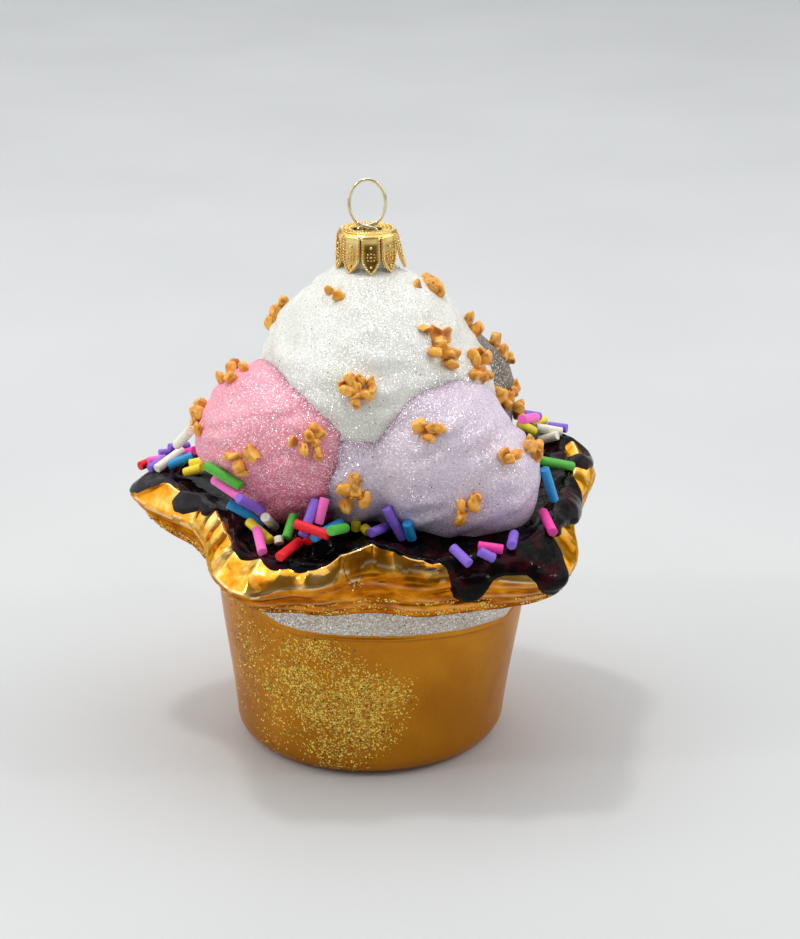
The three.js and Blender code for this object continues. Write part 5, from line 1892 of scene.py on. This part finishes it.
def add_nuts():
    rows = nut_places()
    shapes = bpy.data.collections.new("crumb_shapes")
    for index in range(NUT_SHAPES):
        shapes.objects.link(bpy.data.objects.new(f"crumb_{index}", crumb_mesh(index)))
    base = place_points(
        "crumb_places",
        [tuple(place) for place, _, _ in rows],
        turn=[turn for _, _, turn in rows],
        size=[size for _, size, _ in rows],
    )
    nuts = grown_by(crumb_tree(shapes), base, "nut_crumbs", Scale_of_all=0.001, Seed=6, Finish=nut_finish())
    bpy.data.objects.remove(base)
    for shape in list(shapes.objects):
        bpy.data.objects.remove(shape)
    bpy.data.collections.remove(shapes)
    return nuts


nuts = add_nuts()
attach(nuts, "root")

# ------------------------------------------------------------------ glass neck
# The short open neck that the glass was blown through, painted white with the scoop. The cap
# covers most of it.


def add_neck():
    radius = NECK["radius"]
    profile = [
        (0, NECK["bottom"]), (radius, NECK["bottom"]), (radius, NECK["top"] - 0.5),
        (radius - 0.4, NECK["top"]), (0, NECK["top"]),
    ]
    section = rounded_outline(profile, [0.3, 0.4, 0.4], [2, 8, 1, 2])
    points, faces = turned(np.repeat(section[None], 64, 0), lambda height: NECK_CENTRE + 0 * height)
    finish = bpy.data.materials["vanilla_glitter_paint"]
    neck = new_object("glass_neck", new_mesh("glass_neck", points, faces, finish))
    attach(neck, "root")


add_neck()

# ------------------------------------------------------------------ crown cap
# The cap of thin gilt sheet, pressed in a die: a flat top with a beaded rim and two slots,
# and nine pointed petals that grip the neck. Each petal has a beaded border, two studs and
# a little flower.

CAP_RADIUS = 6.3
CAP_TOP = 117.0
CAP_BAND_BOTTOM = 116.2
CAP_WALL = 0.6
CAP_SHEET = 0.32
CAP_EDGE_ROUND = 0.6
CAP_PETALS = 9
CAP_PETAL_PHASE = 277
CAP_PETAL_WIDTH = 4.1
CAP_PETAL_ROOT = 116.6
CAP_PETAL_SHOULDER = 111.3
CAP_PETAL_TAPER = 109.7
CAP_PETAL_BOTTOM = 108.5
CAP_ROOT_WIDTH = 0.98
CAP_TAPER_WIDTH = 0.60
CAP_FLARE = 4
CAP_BENT_PETAL = 2
CAP_BENT_FLARE = 13
CAP_SLOT = (2.7, 2.4)
CAP_SLOT_OFFSET = 1.75
CAP_BEAD = 0.27
CAP_BEAD_PITCH = 0.58
CAP_TOP_RINGS = (0.8, 1.6, 2.4)  # beaded rings of the flat top, from its edge inwards
CAP_PETAL_GRID = (22, 13)
CAP_PETAL_BORDER = (0.45, 0.3)  # width of a petal's border, and of the step down from it
CAP_PETAL_HEAD = (1.1, 0.6)  # the same at the petal's root
CAP_PETAL_SUNK = 0.10
# studs down the middle of a petal, the flower's last: place across, height, radius
CAP_STUDS = [(0, 114.3, 0.34), (0, 110.15, 0.34), (0, 112.3, 0.30)]
CAP_FLOWER_DOTS = 8
CAP_FLOWER_REACH = (0.78, 0.92)  # of every other dot
CAP_FLOWER_DOT = 0.22
CAP_BORDER_INSET = 0.27
CAP_SUNK_SHADE_TONES = [0.92, 0.45, 0.5, 0.6, 0.4, 0.7, 0.5, 0.65, 0.25]  # how dark each petal's sunk ground is: patina, and painted shade that makes the front petal darkest


def petal_half_width(height):
    """Half the width of a petal at a height."""
    full = CAP_PETAL_WIDTH / 2
    return float(np.interp(
        height,
        [CAP_PETAL_BOTTOM, CAP_PETAL_TAPER, CAP_PETAL_SHOULDER, CAP_PETAL_ROOT],
        [0.02, full * CAP_TAPER_WIDTH, full, full * CAP_ROOT_WIDTH],
    ))


def petal_point(index, across, height, proud=0.0):
    """A point on a petal's outer side, across it and at a height, bent round the cap."""
    flare = CAP_BENT_FLARE if index == CAP_BENT_PETAL else CAP_FLARE
    drop = CAP_PETAL_ROOT - height
    curve = CAP_RADIUS - math.sqrt(max(CAP_RADIUS**2 - across**2, 0))
    radius = CAP_RADIUS + drop * math.tan(math.radians(flare)) - curve * 0.85 + proud
    angle = math.radians(CAP_PETAL_PHASE + index * 360 / CAP_PETALS)
    x = radius * math.cos(angle) - across * math.sin(angle)
    y = radius * math.sin(angle) + across * math.cos(angle)
    return (NECK_CENTRE + x, y, height)


def brass_finish(name, high, low, polish):
    finish, tree, surface = new_finish(name, Metallic=1.0)
    colour = ramp(tree, cloudy(tree, 0.003, 3.0), [(0.3, low), (0.65, high)])
    # the sunk ground of the petals is darker: patina, and painted shade that differs from petal to petal
    patina_and_shade = given(tree, "patina_and_shade")
    colour = blend_colour(tree, patina_and_shade, colour, (104, 76, 18))
    gloss = ramp(tree, cloudy(tree, 0.0012, 4.0), [(0.25, polish), (0.8, polish + 0.12)])
    normal = raised(tree, cloudy(tree, 0.0022, 2.0), 0.00012)
    shade(tree, surface, Base_Color=colour, Roughness=gloss, Normal=normal)
    return finish


def bead_tree():
    """A round bead at even steps along every line of a base mesh."""
    tree, sockets = new_growth("beads", "Beads", Lines="Geometry", Pitch="Float", Bead_radius="Float")
    curve = add_node(tree, "GeometryNodeMeshToCurve", {"Mesh": sockets["Lines"]})
    steps = {"Curve": curve.outputs[0], "Length": sockets["Pitch"]}
    steps = add_node(tree, "GeometryNodeCurveToPoints", steps, mode="LENGTH")
    bead = {"Radius": sockets["Bead radius"], "Subdivisions": 2}
    bead = add_node(tree, "GeometryNodeMeshIcoSphere", bead)
    beads = {"Points": steps.outputs["Points"], "Instance": bead.outputs["Mesh"]}
    beads = add_node(tree, "GeometryNodeInstanceOnPoints", beads)
    return end_growth(tree, beads.outputs[0], sockets, smooth=True)


def line_object(name, lines):
    """Polylines in millimetres as one mesh of edges; a closed line repeats its first point."""
    points, edges = [], []
    for line in lines:
        start = len(points)
        points += [tuple(0.001 * c for c in p) for p in line]
        edges += [(start + i, start + i + 1) for i in range(len(line) - 1)]
    mesh = bpy.data.meshes.new(name)
    mesh.from_pydata(points, edges, [])
    return new_object(name, mesh)


def joined(name, pieces):
    """One object from several, keeping their materials and attributes."""
    with bpy.context.temp_override(
        active_object=pieces[0], object=pieces[0], selected_editable_objects=pieces, selected_objects=pieces,
    ):
        bpy.ops.object.join()
    pieces[0].name = name
    pieces[0].data.name = name
    return pieces[0]


def cap_petals(finish):
    """The nine petals as bent sheet, with a raised border."""
    made = []
    rows, columns = CAP_PETAL_GRID
    border, step = CAP_PETAL_BORDER
    head, head_step = CAP_PETAL_HEAD
    for index in range(CAP_PETALS):
        points, patina_and_shade = [], []
        for i in range(rows):
            height = CAP_PETAL_ROOT + (CAP_PETAL_BOTTOM - CAP_PETAL_ROOT) * i / (rows - 1)
            half = petal_half_width(height)
            for j in range(columns):
                across = half * (2 * j / (columns - 1) - 1)
                inner = min(1.0, max(0.0, (half - abs(across) - border) / step))
                inner *= min(1.0, max(0.0, (CAP_PETAL_ROOT - head - height) / head_step))
                points.append(petal_point(index, across, height, -CAP_PETAL_SUNK * inner))
                # patina in the sunk ground, with painted shade that differs from petal to petal
                patina_and_shade.append(inner * CAP_SUNK_SHADE_TONES[index])
        mesh = new_mesh("petal", points, grid_faces(rows, columns, False)[:, ::-1], finish)
        set_number(mesh, "patina_and_shade", patina_and_shade)
        petal = new_object("petal", mesh)
        made.append(worked(petal, "sheet", "SOLIDIFY", thickness=CAP_SHEET * 0.001, offset=-1.0))
    return made


def cap_crown(finish):
    """The flat top, its round edge and the band, turned, with two slots cut through."""
    inner = CAP_RADIUS - CAP_SHEET
    corners = [
        (0, CAP_TOP - CAP_WALL), (inner - CAP_EDGE_ROUND, CAP_TOP - CAP_WALL),
        (inner, CAP_TOP - CAP_WALL - CAP_EDGE_ROUND), (inner, CAP_BAND_BOTTOM),
        (CAP_RADIUS, CAP_BAND_BOTTOM), (CAP_RADIUS, CAP_TOP - CAP_EDGE_ROUND * 1.3),
        (CAP_RADIUS - CAP_EDGE_ROUND, CAP_TOP), (0, CAP_TOP),
    ]
    section = rounded_outline(corners, [0.3, 0.3, 0.05, 0.05, 0.5, 0.5], [3, 1, 4, 1, 4, 1, 6])
    points, faces = turned(np.repeat(section[None], 96, 0), lambda height: NECK_CENTRE + 0 * height)
    crown = new_object("crown", new_mesh("crown", points, faces, finish))
    for side in (-1, 1):
        x = NECK_CENTRE + side * CAP_SLOT_OFFSET
        half_x, half_y = CAP_SLOT[0] / 2, CAP_SLOT[1] / 2
        corners = [
            (x + a * half_x, b * half_y, CAP_TOP + c) for c in (-2.0, 1.0) for a, b in
            ((-1, -1), (1, -1), (1, 1), (-1, 1))
        ]
        box = [(0, 3, 2, 1), (4, 5, 6, 7), (0, 1, 5, 4), (1, 2, 6, 5), (2, 3, 7, 6), (3, 0, 4, 7)]
        cutter = new_object("slot", new_mesh("slot", corners, box, smooth=False))
        worked(crown, "slot", "BOOLEAN", object=cutter, operation="DIFFERENCE", solver="EXACT")
        bpy.data.objects.remove(cutter)
    return crown


def cap_bead_lines():
    """Border lines of the petals and the three rings of the top."""
    lines = []
    for index in range(CAP_PETALS):
        for side in (-1, 1):
            line = []
            for height in np.linspace(CAP_PETAL_ROOT - 0.6, CAP_PETAL_BOTTOM + 0.35, 16):
                across = side * max(petal_half_width(height) - CAP_BORDER_INSET, 0.02)
                line.append(petal_point(index, across, height, 0.12))
            lines.append(line)
    for inset in CAP_TOP_RINGS:
        radius = CAP_RADIUS - inset
        line = []
        for step in range(73):
            angle = math.radians(step * 5)
            line.append((NECK_CENTRE + radius * math.cos(angle), radius * math.sin(angle), CAP_TOP))
        lines.append(line)
    return lines


def cap_studs(finish):
    """Studs and little flowers down the middle of the petals."""
    ball, ball_faces = sphere_mesh(2)
    dots = [*CAP_STUDS]
    middle = CAP_STUDS[-1][1]
    for k in range(CAP_FLOWER_DOTS):
        angle = math.radians(360 / CAP_FLOWER_DOTS * k)
        reach = CAP_FLOWER_REACH[k % 2]
        dots.append((reach * math.sin(angle), middle + reach * math.cos(angle), CAP_FLOWER_DOT))
    points, faces = [], []
    for index in range(CAP_PETALS):
        for across, height, radius in dots:
            start = len(points)
            points += (ball * radius + petal_point(index, across, height, 0.04)).tolist()
            faces += [[start + i for i in face] for face in ball_faces]
    return new_object("studs", new_mesh("studs", points, faces, finish))


def add_cap():
    finish = brass_finish("gilt_sheet", paint_colour(255, 228, 152), paint_colour(230, 180, 88), 0.12)
    lines = line_object("bead_lines", cap_bead_lines())
    beads = grown_by(
        bead_tree(),
        lines,
        "beads",
        Pitch=CAP_BEAD_PITCH * 0.001,
        Bead_radius=CAP_BEAD * 0.001,
        Finish=finish,
    )
    bpy.data.objects.remove(lines)
    cap = joined("crown_cap", [cap_crown(finish), *cap_petals(finish), beads, cap_studs(finish)])
    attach(cap, "root")
    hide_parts("hanger_cap")


add_cap()

# ------------------------------------------------------------------ wire ring
# One piece of springy brass wire, bent into a ring. Its legs cross and go down through the
# two slots, where they spread under the cap.

RING_WIRE = 0.38
RING_HALF_WIDTH = 3.9
RING_BOTTOM = 117.2
RING_TOP = 128.1
RING_OPENING = 20
RING_LEG_END = 115.9
RING_LEG_TOP = 117.0
RING_LEG_SPREAD = 1.75
RING_LEG_STAGGER = 0.5
RING_ARC_STEPS = 14
RING_SIDES = 16
RING_STEPS = 160


def ring_path():
    middle = (RING_TOP + RING_BOTTOM) / 2
    half = (RING_TOP - RING_BOTTOM) / 2 - RING_WIRE
    points = []
    for step in range(RING_ARC_STEPS + 1):
        angle = math.radians(-90 - RING_OPENING - (360 - 2 * RING_OPENING) * step / RING_ARC_STEPS)
        stagger = RING_LEG_STAGGER * (2 * step / RING_ARC_STEPS - 1)
        points.append((
            NECK_CENTRE + RING_HALF_WIDTH * math.cos(angle), stagger, middle + half * math.sin(angle),
        ))
    for side in (1, -1):
        leg = [
            (NECK_CENTRE + side * RING_LEG_SPREAD, -side * RING_LEG_STAGGER, height)
            for height in (RING_LEG_END, RING_LEG_TOP)
        ]
        points = leg + points if side == 1 else points + leg[::-1]
    return np.array(points)


def add_ring():
    finish = brass_finish("brass_wire", paint_colour(242, 232, 200), paint_colour(204, 186, 140), 0.08)
    ring = wire("wire_ring", smooth_path(ring_path(), RING_STEPS), RING_WIRE, RING_SIDES, finish)
    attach(ring, "root")
    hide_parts("hanger_ring")


add_ring()
